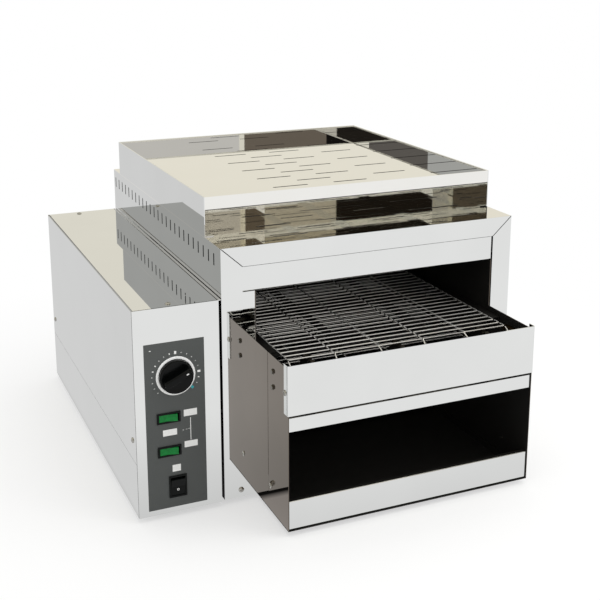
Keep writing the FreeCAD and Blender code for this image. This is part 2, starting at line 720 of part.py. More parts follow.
def make_feed_box():
    left_out = plateLeft - wall
    right_out = plateRight + wall
    apron = outline("apron_u", "XY", [
        (left_out, 0), (right_out, 0), (right_out, apronReturn),
        (plateRight, apronReturn), (plateRight, wall), (plateLeft, wall),
        (plateLeft, apronReturn), (left_out, apronReturn)], apronFoot, apronTop)
    round_bends(apron, "XY", [(left_out, 0), (right_out, 0)], bend)
    seat = (apronScrewSet, feedTop - apronScrewDrop)
    holes = [prism("apron_hole_left", "X", seat, left_out - past, plateLeft + past, screwHole),
             prism("apron_hole_right", "X", seat, plateRight - past, right_out + past,
                   screwHole)]
    keep(cut("apron_drilled", apron, holes), "feed_apron")
    add_screw("X", -1, seat, left_out)
    add_screw("X", 1, seat, right_out)

    near = railSetback
    high = apronFoot - railDrop
    rail = outline("cross_rail_z", "YZ", [
        (near, high - railHeight), (near + railDepth, high - railHeight),
        (near + railDepth, high - railHeight + wall), (near + wall, high - railHeight + wall),
        (near + wall, high - railSlope), (near + railDepth, high - wall), (near + railDepth, high),
        (near, high - railSlope + wall)],
        insideLeft, insideRight)
    keep(rail, "cross_rail")

    floor = outline("feed_floor_u", "XZ", [
        (plateLeft, base), (plateRight, base), (plateRight, base + wall),
        (plateLeft, base + wall)], wall, bodyFront + wall)
    keep(floor, "feed_floor")


def make_collecting_tray():
    near = railSetback
    low = base + wall + trayLift
    left = insideLeft + slideGap
    right = insideRight - slideGap
    lip_top = base + lipHeight
    sheet_profile = outline("tray_profile", "YZ", [
        (near, low), (near + trayLength, low), (near + trayLength, low + trayBack),
        (near + trayLength - wall, low + trayBack), (near + trayLength - wall, low + wall),
        (near + wall, low + wall), (near + wall, lip_top - wall),
        (near + lipHem, lip_top - wall), (near + lipHem, lip_top), (near, lip_top)],
        left, right)
    round_bends(sheet_profile, "YZ", [(near, lip_top), (near, low)], wall)
    sides = [block(f"tray_side_{name}", ends, (near + wall, near + trayLength - wall),
                   (low + wall, low + trayBack))
             for name, ends in (("left", (left, left + wall)), ("right", (right - wall, right)))]
    keep(fuse("tray_stock", [sheet_profile] + sides), "collecting_tray")


def make_return_path():
    left = insideLeft
    right = insideRight
    top = base + chuteDrop
    low = base + chuteRise
    rear = plateBack
    chute = outline("return_chute_z", "YZ", [
        (chuteFront, low), (rear, top), (rear, top + chuteLip), (rear - wall, top + chuteLip),
        (rear - wall, top + wall), (chuteFront, low + wall)], left, right)
    keep(chute, "return_chute")

    outer = deflectorRadius + wall
    shell = cut("deflector_tube",
                rod("deflector_outer", "X", (rearShaftY, shaftZ), left, right, outer),
                [rod("deflector_inner", "X", (rearShaftY, shaftZ), left - past, right + past,
                     deflectorRadius)])
    rear_half = block("deflector_half", (left - past, right + past),
                      (rearShaftY + deflectorRadius / 4, rearShaftY + outer + past),
                      (shaftZ - outer - past, shaftZ + outer + past))
    keep(common("deflector", shell, rear_half), "rear_deflector")


# Belt, shafts and what carries them

def row_points():
    """Belt wire centres round the loop: (y, z) of each row, in order."""
    radius = float(beltRadius)
    rise = float(beltRise)
    pitch = float(beltPitch)
    first = float(frontShaftY)
    last = float(rearShaftY)
    height = float(shaftZ)
    points = [(first + pitch * (i + 0.5), height + rise) for i in range(beltRun)]
    steps = sprocketTeeth // 2
    for i in range(steps):
        angle = math.pi / 2 - half_step * (2 * i + 1)
        points.append((last + radius * math.cos(angle), height + radius * math.sin(angle)))
    points += [(last - pitch * (i + 0.5), height - rise) for i in range(beltRun)]
    for i in range(steps):
        angle = -math.pi / 2 - half_step * (2 * i + 1)
        points.append((first + radius * math.cos(angle), height + radius * math.sin(angle)))
    return points


def strand_outline():
    """Centre line of one strand: a square wave one pitch high, from edge to edge."""
    pitch = float(beltPitch)
    lean = float(beltLean)
    line = [(0.0, 0.0)]
    level = 0.0
    for i in range(1, beltSpaces):
        across = float(beltSpace) * i
        line.append((across - lean, level))
        level = pitch - level
        line.append((across + lean, level))
    line.append((float(beltWidth), level))
    return line


def offset_line(line, width):
    """Closed outline of a bent bar: the centre line widened by half its width."""
    def side(sign):
        made = []
        for i, (x, y) in enumerate(line):
            before = direction(line[max(i - 1, 0)], line[max(i - 1, 0) + 1])
            after_start = min(i, len(line) - 2)
            after = direction(line[after_start], line[after_start + 1])
            normal = (-(before[1] + after[1]), before[0] + after[0])
            length = math.hypot(*normal)
            normal = (normal[0] / length, normal[1] / length)
            stretch = -before[1] * normal[0] + before[0] * normal[1]
            reach = sign * width / 2 / stretch
            made.append((x + normal[0] * reach, y + normal[1] * reach))
        return made

    return side(1) + side(-1)[::-1]


def direction(start, end):
    length = math.hypot(end[0] - start[0], end[1] - start[1])
    return (end[0] - start[0]) / length, (end[1] - start[1]) / length


def make_belt():
    """The wire belt: one strand, placed again along every row of the loop."""
    wire = float(beltWire)
    corners = [Vector(x, y, -wire / 2) for x, y in offset_line(strand_outline(), wire)]
    face = Part.Face(Part.makePolygon(corners + corners[:1]))
    strand = face.extrude(Vector(0, 0, wire))
    rows_yz = row_points()
    strands = []
    for i, (y, z) in enumerate(rows_yz):
        next_y, next_z = rows_yz[(i + 1) % len(rows_yz)]
        angle = math.degrees(math.atan2(next_z - z, next_y - y))
        where = Vector(float(beltLeft - centreX), y - float(centreY), z)
        copy = strand.copy()
        copy.Placement = FreeCAD.Placement(where, Rotation(Vector(1, 0, 0), angle))
        strands.append(copy)
    belt = doc.addObject("Part::Feature", "belt_strands")
    belt.Shape = Part.makeCompound(strands)
    keep(belt, "mesh_belt")


def toothed_wheel(name, teeth, root, tip, root_width, tip_width, width, bore):
    """A sprocket blank: trapezoid teeth round a disc, bored for its shaft."""
    corners = []
    for i in range(teeth):
        middle = 2 * math.pi * i / teeth
        for radius, across in ((root, -root_width), (tip, -tip_width),
                               (tip, tip_width), (root, root_width)):
            angle = middle + math.atan2(across / 2, radius)
            corners.append(Vector(0, radius * math.cos(angle), radius * math.sin(angle)))
    face = Part.Face(Part.makePolygon(corners + corners[:1]))
    blank = face.extrude(Vector(width, 0, 0))
    run_past = float(past)
    reach = bore / math.cos(math.pi / boreSides)
    ring = [Vector(-run_past, reach * math.cos(2 * math.pi * i / boreSides),
                   reach * math.sin(2 * math.pi * i / boreSides)) for i in range(boreSides)]
    hole = Part.Face(Part.makePolygon(ring + ring[:1]))
    return blank.cut(hole.extrude(Vector(width + 2 * run_past, 0, 0)))


def belt_sprockets(label, y):
    """Three belt sprockets on one shaft, in the first, third and fifth spaces."""
    tip = float(beltRadius - beltWire / 2 - toothClear)
    wheel = toothed_wheel(label, sprocketTeeth, tip - float(toothDepth), tip,
                          float(toothRoot), float(toothTip), float(sprocketWidth),
                          float(shaftRadius))
    placed = []
    for i in (0, 2, 4):
        copy = wheel.copy()
        middle = beltLeft - centreX + beltSpace * (i + 0.5)
        copy.translate(Vector(float(middle - sprocketWidth / 2),
                              float(as_size(y) - centreY), float(shaftZ)))
        placed.append(copy)
    thing = doc.addObject("Part::Feature", label + "_wheels")
    thing.Shape = Part.makeCompound(placed)
    keep(thing, label)


def bearing(name, y, low):
    """A flange bearing block on a side plate, bored for the shaft."""
    stock = block(name + "_stock", (low, low + bearingWidth), span(y, bearingShort),
                  span(shaftZ, bearingLong))
    reach = (low - past, low + bearingWidth + past)
    bore = rod(name + "_bore", "X", (y, shaftZ), *reach, shaftRadius + runGap)
    bolt_holes = [prism(f"{name}_bolt_{sign + 1}", "X", (y, shaftZ + boltSpacing / 2 * sign),
                        *reach, boltRadius) for sign in (-1, 1)]
    return cut(name, stock, [bore] + bolt_holes)


def make_shafts():
    end_left = insideLeft + shaftEndGap
    end_right = insideRight - shaftEndGap
    keep(rod("front_shaft_rod", "X", (frontShaftY, shaftZ), end_left, end_right, shaftRadius),
         "front_shaft")
    keep(rod("drive_shaft_rod", "X", (rearShaftY, shaftZ), driveSprocketX - shaftBeyond,
             end_right, shaftRadius), "drive_shaft")
    belt_sprockets("front_sprockets", frontShaftY)
    belt_sprockets("rear_sprockets", rearShaftY)
    right_low = insideRight - bearingWidth
    bearings = [bearing(f"{name}_bearing_{side}", y, low)
                for name, y in (("front", frontShaftY), ("rear", rearShaftY))
                for side, low in (("left", insideLeft), ("right", right_low))]
    keep(fuse("bearing_set", bearings), "shaft_bearings")
    bolts = []
    for name, y in (("front", frontShaftY), ("rear", rearShaftY)):
        for sign in (-1, 1):
            centre = (y, shaftZ + boltSpacing / 2 * sign)
            for side, face, head_end, tail in (
                    ("left", plateLeft, plateLeft - boltHeadHigh, insideLeft + bearingWidth),
                    ("right", plateRight, plateRight + boltHeadHigh, right_low)):
                tag = f"{name}_{side}_bolt_{sign + 1}"
                low, high = (head_end, face) if side == "left" else (face, head_end)
                bolts.append(prism(tag + "_head", "X", centre, low, high, boltHead, 6))
                low, high = (face, tail) if side == "left" else (tail, face)
                bolts.append(prism(tag + "_shank", "X", centre, low, high, boltRadius))
    keep(fuse("bearing_bolt_set", bolts), "bearing_bolts")


def make_rails():
    """Bars under the belt's upper run, on two cross bars, and the edge guides."""
    under = shaftZ + beltRise - beltWire / 2 - beltClear
    low_y = frontShaftY + beltRadius + railStart
    high_y = rearShaftY - beltRadius - railStart
    for side, number in (("left", 1), ("right", 3)):
        middle = beltLeft + beltSpace * (number + 0.5)
        keep(block(f"belt_bar_{side}", span(middle, railThick), (low_y, high_y),
                   (under - railTall, under)), f"belt_rail_{side}")
    cross_z = under - railTall - crossRadius
    bars = [prism(f"cross_bar_{number}", "X", (y, cross_z), insideLeft, insideRight,
                  crossRadius)
            for number, y in enumerate((low_y + crossInset, high_y - crossInset))]
    keep(fuse("cross_bar_pair", bars), "belt_cross_bars")

    foot = under - guideTall
    for side, wall_x, sign in (("left", insideLeft, 1), ("right", insideRight, -1)):
        inner = wall_x + guideWidth * sign
        web = wall_x + railThick * sign
        guide = outline(f"belt_guide_{side}_l", "XZ", [
            (wall_x, under), (wall_x, foot), (web, foot), (web, under - railThick),
            (inner, under - railThick), (inner, under)], low_y - guideLead,
            high_y + guideLead)
        keep(guide, f"belt_guide_{side}")


# Heating elements in ceramic collars, with the reflector above them

def make_heaters():
    spots = element_spots()
    overhang = collarLength / 2 + elementOverhang
    tubes = [prism(f"heating_tube_{i}", "X", centre, plateLeft - overhang,
                   plateRight + overhang, elementRadius)
             for i, centre in enumerate(spots)]
    keep(fuse("heating_tube_set", tubes), "heating_elements")
    collars = []
    for i, centre in enumerate(spots):
        for side, middle in (("left", plateLeft + wall / 2), ("right", plateRight - wall / 2)):
            low = middle - collarLength / 2
            high = middle + collarLength / 2
            collars.append(cut(f"collar_{side}_{i}",
                               prism(f"collar_{side}_{i}_stock", "X", centre, low, high,
                                     collarRadius, 6),
                               [prism(f"collar_{side}_{i}_bore", "X", centre, low - past,
                                      high + past, elementRadius)]))
    keep(fuse("collar_set", collars), "element_collars")

    top = base + chamberHeight
    start = bodyFront + hoodLedge + recess + play
    reflector = outline("reflector_u", "XZ", [
        (plateLeft - reflectorSide, top - wall), (plateRight + reflectorSide, top - wall),
        (plateRight + reflectorSide, top), (plateLeft - reflectorSide, top)],
        start, plateBack)
    keep(reflector, "heat_reflector")


# Warming tray on top

def make_warming_tray():
    inner_left = warmLeft + wall
    inner_right = warmRight - wall
    walls = outline("tray_walls_u", "XY", [
        (warmLeft, warmFront), (inner_left, warmFront), (inner_left, warmBack - wall),
        (inner_right, warmBack - wall), (inner_right, warmFront), (warmRight, warmFront),
        (warmRight, warmBack), (warmLeft, warmBack)], bodyTop, warmTop)
    left_foot = block("tray_foot_left", (inner_left, inner_left + warmFoot),
                      (warmFront, warmBack - wall), (bodyTop, bodyTop + wall))
    right_foot = block("tray_foot_right", (bodyRight - wall - warmFoot, inner_right),
                       (warmFront, warmBack - wall), (bodyTop, bodyTop + wall))
    keep(fuse("tray_walls", [walls, left_foot, right_foot]), "warming_tray_walls")

    floor = outline("tray_floor_l", "YZ", [
        (warmFront, warmFloor - wall), (warmBack - wall, warmFloor - wall),
        (warmBack - wall, warmFloor), (warmFront + wall, warmFloor),
        (warmFront + wall, warmTop), (warmFront, warmTop)], inner_left, inner_right)
    middle = (warmLeft + warmRight) / 2
    row = warmFront + slotStart
    fours = (-slotOuter, -slotInner, slotInner, slotOuter)
    threes = (-slotAside, as_size(0), slotAside)
    first = [rectangle(span(middle + x, slotLength), span(row, slotWidth)) for x in fours]
    second = [rectangle(span(middle + x, slotLength), span(row + slotPitch, slotWidth))
              for x in threes]
    for name, loops, count in (("slots_even", first, (slotRows + 1) // 2),
                               ("slots_odd", second, slotRows // 2)):
        pierce(floor, name, "XY", loops, ("Y", slotPitch * 2, count))
    keep(floor, "warming_tray_floor")


# Control box: a tub, a cover over it, and the front and rear panels

def make_control_box():
    left = 0
    right = controlWidth
    front = controlFront + wall
    back = controlBack - wall
    seam = base + seamHeight
    tongue_ends = (front + tongueInset, back - tongueInset)
    tongue = (seam - tongueInset, seam + tongueRise)
    tub = outline("control_tub", "XZ", [
        (left, base), (right, base), (right, seam), (right - wall, seam),
        (right - wall, base + wall), (wall, base + wall), (wall, seam), (left, seam)],
        front, back)
    tongues = [block("control_tongue_left", (wall, wall * 2), tongue_ends, tongue),
               block("control_tongue_right", (right - wall * 2, right - wall), tongue_ends,
                     tongue)]
    side_seats = [(controlFront + coverScrewFront, seam + coverScrewUp),
                  (controlBack - coverScrewRear, seam + coverScrewUp)]
    side_holes = [prism(f"tub_screw_hole_{i}", "X", yz, -past, wall * 2 + past, screwHole)
                  for i, yz in enumerate(side_seats)]
    keep(cut("control_tub_drilled", fuse("control_tub_stock", [tub] + tongues), side_holes),
         "control_base")

    low = seam + play
    cover = outline("control_cover_u", "XZ", [
        (left, low), (wall, low), (wall, controlTop - wall), (right - wall, controlTop - wall),
        (right - wall, low), (right, low), (right, controlTop), (left, controlTop)],
        front, back)
    round_bends(cover, "XZ", [(left, controlTop), (right, controlTop)], bend)
    top_seats = [(topScrewAcross, controlFront + coverScrewTop),
                 (topScrewAcross, controlBack - coverScrewTop)]
    holes = [prism(f"cover_side_hole_{i}", "X", yz, -past, wall + past, screwHole)
             for i, yz in enumerate(side_seats)]
    holes += [prism(f"cover_top_hole_{i}", "Z", xy, controlTop - wall - past,
                    controlTop + past, screwHole) for i, xy in enumerate(top_seats)]
    holes.append(prism("cover_shaft_hole", "X", (rearShaftY, shaftZ), right - wall - past,
                       right + past, shaftRadius * 2, 12))
    keep(cut("control_cover_drilled", cover, holes), "control_cover")
    for seat in side_seats:
        add_screw("X", -1, seat, 0)
    for seat in top_seats:
        add_screw("Z", 1, seat, controlTop)

    face = outline("control_front_sheet", "XZ",
                   rectangle((left, right), (base, controlTop)), controlFront,
                   controlFront + wall)
    flange_x = (flangeInset, right - flangeInset)
    flange_y = (controlFront + wall, controlFront + flangeDepth)
    under_lid = (controlTop - wall * 2, controlTop - wall)
    over_floor = (base + wall, base + wall * 2)
    flanges = [block("front_flange_top", flange_x, flange_y, under_lid),
               block("front_flange_foot", flange_x, flange_y, over_floor)]
    flange_hole = prism("front_flange_hole", "Z", top_seats[0], controlTop - wall * 2 - past,
                        controlTop, screwHole)
    dial_centre = (dialX, base + dialZ)
    tools = [prism("regulator_hole", "Y", dial_centre, controlFront - past,
                   controlFront + wall + past, spindleRadius + bushWall, 12)]
    for number, (x, z, wide, high) in enumerate(switch_places()):
        tools.append(block(f"switch_hole_{number}",
                           span(x, wide - 2 * bezelRim + 2 * switchWall),
                           (controlFront - past, controlFront + wall + past),
                           span(z, high - 2 * bezelRim + 2 * switchWall)))
    keep(cut("control_front_cut", fuse("control_front_stock", [face] + flanges),
             tools + [flange_hole]), "control_front")

    rear = outline("control_back_sheet", "XZ",
                   rectangle((left, right), (base, controlTop)), controlBack - wall,
                   controlBack)
    vent_low = base + ventRise
    pierce(rear, "control_vent", "XZ",
           [rectangle(span(ventAcross, ventWidth), (vent_low, vent_low + rearVentHeight))],
           ("X", ventWidth * 3, 7))
    flange_y = (controlBack - flangeDepth, controlBack - wall)
    flanges = [block("rear_flange_top", flange_x, flange_y, under_lid),
               block("rear_flange_foot", flange_x, flange_y, over_floor)]
    flange_hole = prism("rear_flange_hole", "Z", top_seats[1], controlTop - wall * 2 - past,
                        controlTop, screwHole)
    gland_hole = prism("gland_hole", "Y", (right / 2, base + glandZ),
                       controlBack - wall - past, controlBack + past, glandRadius * 0.8, 12)
    keep(cut("control_back_cut", fuse("control_back_stock", [rear] + flanges),
             [flange_hole, gland_hole]), "control_back")

    overlay = outline("overlay_sheet", "XZ",
                      rectangle((overlayLeft, overlayLeft + overlayWidth),
                                (base + overlayFoot, base + overlayFoot + overlayHeight)),
                      overlayFace, controlFront)
    openings = [rectangle(span(x, wide - 2 * bezelRim + 2 * switchWall),
                          span(z, high - 2 * bezelRim + 2 * switchWall))
                for x, z, wide, high in switch_places()]
    pierce(overlay, "overlay_opening", "XZ", openings)
    dial_hole = prism("overlay_dial_hole", "Y", dial_centre, overlayFace - past,
                      controlFront + past, spindleRadius + bushWall, 12)
    keep(cut("overlay_cut", overlay, [dial_hole]), "control_overlay")


def switch_places():
    """Centre and bezel size of the two green rockers and the main switch."""
    return [(greenX, base + upperGreenZ, greenWide, greenHigh),
            (greenX, base + lowerGreenZ, greenWide, greenHigh),
            (mainX, base + mainZ, mainWide, mainHigh)]


def make_dial():
    centre = (dialX, base + dialZ)
    ring_face = overlayFace - dialRingThick
    ring = cut("dial_ring_cut",
               prism("dial_ring_stock", "Y", centre, ring_face, overlayFace, dialRing, 36),
               [prism("dial_ring_bore", "Y", centre, ring_face - past, overlayFace + past,
                      dialRing - dialRingWide, 36)])
    keep(ring, "dial_ring")

    knob_radius = dialRing - dialRingWide - turnGap
    knob_back = overlayFace - play
    disc_face = knob_back - knobDepth
    grip_face = disc_face - gripDepth
    disc = prism("knob_disc", "Y", centre, disc_face, knob_back, knob_radius, 36)
    tip = gripWidth * 0.62
    z_mid = base + dialZ
    reach = knob_radius - gripInset
    grip = outline("knob_grip", "XY", [
        (dialX - gripWidth / 2, disc_face), (dialX - tip / 2, grip_face),
        (dialX + tip / 2, grip_face), (dialX + gripWidth / 2, disc_face)],
        z_mid - reach, z_mid + reach)
    round_bends(grip, "XY", [(dialX - tip / 2, grip_face), (dialX + tip / 2, grip_face)],
                gripRound)
    stock = fuse("knob_stock", [disc, grip])
    socket = rod("knob_socket", "Y", centre, knob_back - spindleLong, knob_back + past,
                 spindleRadius)
    knob = keep(cut("knob", stock, [socket]), "speed_knob")
    lean_about(knob, dialX - centreX, z_mid, gripLean)
    keep(rod("spindle_rod", "Y", centre, knob_back - spindleLong,
             controlFront + wall + bushLong + bushWall, spindleRadius), "regulator_spindle")

    case_front = controlFront + wall
    bush = prism("regulator_bush", "Y", centre, overlayFace + bushGap,
                 case_front + bushLong, spindleRadius + bushWall, 12)
    case = block("regulator_case", span(dialX, regulatorSide),
                 (case_front, case_front + regulatorDeep), span(z_mid, regulatorSide))
    bore = rod("regulator_bore", "Y", centre, controlFront - bushWall,
               case_front + bushLong + bushWall * 2, spindleRadius + runGap)
    keep(cut("regulator", fuse("regulator_stock", [case, bush]), [bore]),
         "speed_regulator")


def lean_about(thing, across, up, degrees):
    """Turns a finished sub-part clockwise, as seen from the front, about a point."""
    cosine = math.cos(math.radians(degrees))
    sine = math.sin(math.radians(degrees))
    shift_x = across * (1 - cosine) - up * sine
    shift_z = up * (1 - cosine) + across * sine
    thing.Placement = FreeCAD.Placement(Vector(float(shift_x), 0, float(shift_z)),
                                        Rotation(Vector(0, 1, 0), degrees))
    bind(thing, "Placement.Base.x", shift_x)
    bind(thing, "Placement.Base.z", shift_z)


def make_switch(label, place_xz, along):
    """A rocker in its case: along is the axis of the rocker's longer side."""
    x, z, wide, high = place_xz
    room_wide = wide - 2 * bezelRim
    room_high = high - 2 * bezelRim
    face = overlayFace - bezelThick
    back = controlFront + switchDepth
    rim = block(label + "_rim", span(x, wide), (face, overlayFace), span(z, high))
    case = block(label + "_shell", span(x, room_wide + 2 * switchWall), (overlayFace, back),
                 span(z, room_high + 2 * switchWall))
    room = block(label + "_room", span(x, room_wide), (face - past, back - switchWall),
                 span(z, room_high))
    hollow = cut(label + "_case_cut", fuse(label + "_case_stock", [rim, case]), [room])

    # The profile runs along the rocker's longer side, with its pivot at the origin
    across = room_high if along == "X" else room_wide
    length = room_wide if along == "X" else room_high
    half = float(length / 2 - rockerPlay)
    middle = float(pivotDepth + overlayThick + rockerRise)
    end = middle + half * math.tan(math.radians(rockerTilt))
    skirt = end - float(rockerSkirt)
    hub = float(rockerHub)
    width = float(across - 2 * rockerSide)
    turn = math.radians(rockerTilt)

    def corner(u, v):
        run = u * math.cos(turn) - v * math.sin(turn)
        out = u * math.sin(turn) + v * math.cos(turn)
        return Vector(run, -out, -width / 2) if along == "X" else Vector(-width / 2, -out, run)

    path = [corner(hub, 0), corner(0.95 * half, skirt), corner(half, end), corner(0, middle),
            corner(-half, end), corner(-0.95 * half, skirt), corner(-hub, 0)]
    edges = [Part.LineSegment(a, b).toShape() for a, b in zip(path, path[1:])]
    edges.append(Part.Arc(path[-1], corner(0, -hub), path[0]).toShape())
    push = Vector(0, 0, width) if along == "X" else Vector(width, 0, 0)
    face = Part.Face(Part.Wire(edges))
    thing = doc.addObject("Part::Feature", label + "_rocker_form")
    thing.Shape = face.extrude(push)
    place(thing, x, controlFront + pivotDepth, z)
    keep(thing, label + "_rocker")
    return hollow


def make_controls():
    make_dial()
    upper, lower, main = switch_places()
    heat_cases = [make_switch("upper_heat", upper, "X"), make_switch("lower_heat", lower, "X")]
    keep(fuse("heat_case_pair", heat_cases), "heat_switch_cases")
    keep(make_switch("main_switch", main, "Z"), "main_switch_case")
    keep(block("terminal_block_case", (terminalSide, controlWidth - terminalSide * 2),
               (controlBack - terminalBack - terminalDeep, controlBack - terminalBack),
               (base + wall, base + wall + terminalHigh)), "terminal_block")
    centre = (controlWidth / 2, base + glandZ)
    flange_back = controlBack + glandFlange
    tail = controlBack + glandLong
    flange = prism("gland_flange", "Y", centre, controlBack, flange_back, glandRadius, 6)
    nose = prism("gland_nose", "Y", centre, flange_back, tail, glandRadius * 0.8, 6)
    stem = prism("gland_stem", "Y", centre, controlBack - glandStem, controlBack,
                 glandRadius * 0.8, 12)
    bore = prism("gland_bore", "Y", centre, controlBack - glandStem - past, tail + past,
                 glandRadius * 0.4, 12)
    keep(cut("gland", fuse("gland_stock", [flange, nose, stem]), [bore]), "cable_gland")


# Gearmotor, chain and sprockets in the control box

def chain_radius(teeth):
    return chainPitch / (2 * math.sin(math.pi / teeth))


def make_drive():
    motor_y = rearShaftY - motorForward
    motor_z = base + motorLift
    half = chainWidth / 2
    wheels = (("drive_sprocket", drivenTeeth, rearShaftY, shaftZ, shaftRadius),
              ("motor_sprocket", motorTeeth, motor_y, motor_z, motorShaftRadius))
    for label, teeth, y, z, bore in wheels:
        pitch_radius = float(chain_radius(teeth))
        wheel = toothed_wheel(label, teeth, pitch_radius - float(chainToothDeep),
                              pitch_radius + float(chainToothHigh), float(chainToothRoot),
                              float(chainToothTip), float(chainWidth - past * 2), float(bore))
        thing = doc.addObject("Part::Feature", label + "_wheel")
        thing.Shape = wheel
        place(thing, driveSprocketX - half + past, y, z)
        keep(thing, label)
    box_high = driveSprocketX - half - gearboxGap
    keep(rod("motor_shaft_rod", "X", (motor_y, motor_z), box_high - motorShaftSeat,
             driveSprocketX + half, motorShaftRadius), "motor_shaft")

    clear = chainToothHigh + chainGap
    inner = [(rearShaftY, shaftZ, chain_radius(drivenTeeth) + clear),
             (motor_y, motor_z, chain_radius(motorTeeth) + clear)]
    chain = doc.addObject("Part::Feature", "chain_loop")
    chain.Shape = chain_shape(inner)
    keep(chain, "drive_chain")

    box_low = box_high - gearboxDeep
    across = span(motor_y, gearboxSide)
    gearbox = block("gearbox", (box_low, box_high), across, span(motor_z, gearboxSide))
    can = prism("motor_can", "X", (motor_y, motor_z), box_low - motorLong, box_low,
                motorRadius, 16)
    floor = base + wall
    web = block("motor_bracket_web", (box_high - bracketThick, box_high), across,
                (floor, motor_z - gearboxSide / 2))
    foot = block("motor_foot", (box_low, box_high - bracketThick), across,
                 (floor, floor + bracketThick))
    bore = rod("gearbox_bore", "X", (motor_y, motor_z), box_high - motorShaftSeat - past,
               box_high + past, motorShaftRadius + runGap)
    keep(cut("gearmotor_cut", fuse("gearmotor_stock", [gearbox, can]), [bore]), "gearmotor")
    keep(fuse("motor_bracket_l", [web, foot]), "motor_bracket")


def tangent_loop(wheels, grow):
    """A closed belt-shaped face round two circles, each grown by the same amount."""
    (y1, z1, r1), (y2, z2, r2) = [(float(a), float(b), float(c) + grow) for a, b, c in wheels]
    distance = math.hypot(y2 - y1, z2 - z1)
    heading = math.atan2(z2 - z1, y2 - y1)
    lean = math.acos((r1 - r2) / distance)

    def arc(y, z, radius, first, last):
        """Points of an arc, one for each short straight link."""
        turns_made = [first + (last - first) * i / arcLinks for i in range(arcLinks + 1)]
        return [Vector(0, y + radius * math.cos(a), z + radius * math.sin(a))
                for a in turns_made]

    path = arc(y2, z2, r2, heading + lean, heading - lean)
    path += arc(y1, z1, r1, heading - lean, heading + lean - 2 * math.pi)
    return Part.Face(Part.makePolygon(path + path[:1]))


def chain_shape(inner):
    width = float(chainWidth)
    low = float(driveSprocketX) - width / 2
    outer = tangent_loop(inner, float(chainThick)).extrude(Vector(width, 0, 0))
    hollow = tangent_loop(inner, 0.0).extrude(Vector(width, 0, 0))
    loop = outer.cut(hollow)
    loop.translate(Vector(low - float(centreX), -float(centreY), 0))
    return loop


def make_spacers():
    """Hexagonal posts that hold the control box off the body."""
    places = [(y, z) for y in (bodyFront + spacerInset, bodyBack - spacerInset)
              for z in (base + spacerLow, controlTop - spacerDrop)]
    keep(fuse("spacer_set", [prism(f"spacer_{i}", "X", yz, controlWidth, bodyLeft,
                                   spacerRadius, 6)
                             for i, yz in enumerate(places)]), "box_spacers")


def make_feet():
    spots = [(footInset, controlFront + footInset), (footInset, controlBack - footInset),
             (bodyRight - footInset, bodyFront + footInset),
             (bodyRight - footInset, bodyBack - footInset)]
    feet = [prism(f"foot_{i}", "Z", xy, 0, base, footRadius, 16)
            for i, xy in enumerate(spots)]
    keep(fuse("foot_set", feet), "feet")


make_casing()
make_front()
make_plates()
make_feed_box()
make_collecting_tray()
make_return_path()
make_belt()
make_shafts()
make_rails()
make_heaters()
make_warming_tray()
make_control_box()
make_controls()
make_drive()
make_spacers()
make_feet()
keep(fuse("casing_screw_set", casing_screws), "casing_screws")

doc.recompute()
for thing in doc.Objects:
    if "Invalid" in thing.State or "Error" in thing.State:
        raise RuntimeError(f"{thing.Name} failed: {thing.State}")
os.makedirs("parts", exist_ok=True)
for node in nodes:
    shape = node.Shape
    if shape.isNull() or not shape.isValid() or not shape.Solids:
        raise RuntimeError(f"{node.Label} has no valid solid")
    shape.exportStep(f"parts/{node.Label}.step")
    box = shape.BoundBox
    print(node.Label, len(shape.Solids), round(shape.Volume / 1000, 1),
          [round(v, 1) for v in (box.XMin, box.XMax, box.YMin, box.YMax, box.ZMin, box.ZMax)])
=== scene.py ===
import math

import bmesh
import bpy
import numpy as np
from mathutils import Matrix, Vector
from mathutils.bvhtree import BVHTree


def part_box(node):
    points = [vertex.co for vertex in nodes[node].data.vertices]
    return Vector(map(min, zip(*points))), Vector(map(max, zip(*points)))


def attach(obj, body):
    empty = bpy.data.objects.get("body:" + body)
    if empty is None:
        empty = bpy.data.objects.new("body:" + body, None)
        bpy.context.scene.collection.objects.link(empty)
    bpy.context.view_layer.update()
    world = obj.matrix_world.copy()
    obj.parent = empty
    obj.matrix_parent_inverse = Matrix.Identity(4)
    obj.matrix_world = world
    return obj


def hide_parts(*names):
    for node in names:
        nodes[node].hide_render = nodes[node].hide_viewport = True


# Conveyor toaster, dressed over its CAD frame. The scene is in metres with the front towards
# -Y, and sizes in the dictionaries are in millimetres unless a note says otherwise
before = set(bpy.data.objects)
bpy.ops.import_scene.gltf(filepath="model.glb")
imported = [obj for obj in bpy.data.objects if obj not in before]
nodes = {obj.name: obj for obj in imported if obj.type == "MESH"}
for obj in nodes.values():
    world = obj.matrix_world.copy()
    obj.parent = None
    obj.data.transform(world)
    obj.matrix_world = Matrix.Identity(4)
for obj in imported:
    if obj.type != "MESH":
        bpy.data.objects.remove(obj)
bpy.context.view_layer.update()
mm = 0.001
print("frame loaded")


# Colours and nodes

def toLinear(code):
    # sRGB hex to linear, by the standard curve
    parts = [int(code[i:i + 2], 16) / 255 for i in (1, 3, 5)]
    return [c / 12.92 if c < 0.04045 else ((c + 0.055) / 1.055) ** 2.4 for c in parts] + [1.0]


def addNode(tree, kind, settings=None, links=None):
    # one node, its settings by attribute or input name, and the sockets that feed it
    node = tree.nodes.new(kind)
    for key, value in (settings or {}).items():
        if isinstance(key, str) and hasattr(node, key):
            setattr(node, key, value)
        else:
            node.inputs[key].default_value = value
    for key, source in (links or {}).items():
        tree.links.new(source, node.inputs[key])
    return node


def newMaterial(name):
    material = bpy.data.materials.new(name)
    material.use_nodes = True
    tree = material.node_tree
    tree.nodes.clear()
    place = addNode(tree, "ShaderNodeTexCoord").outputs["Object"]
    return material, tree, place


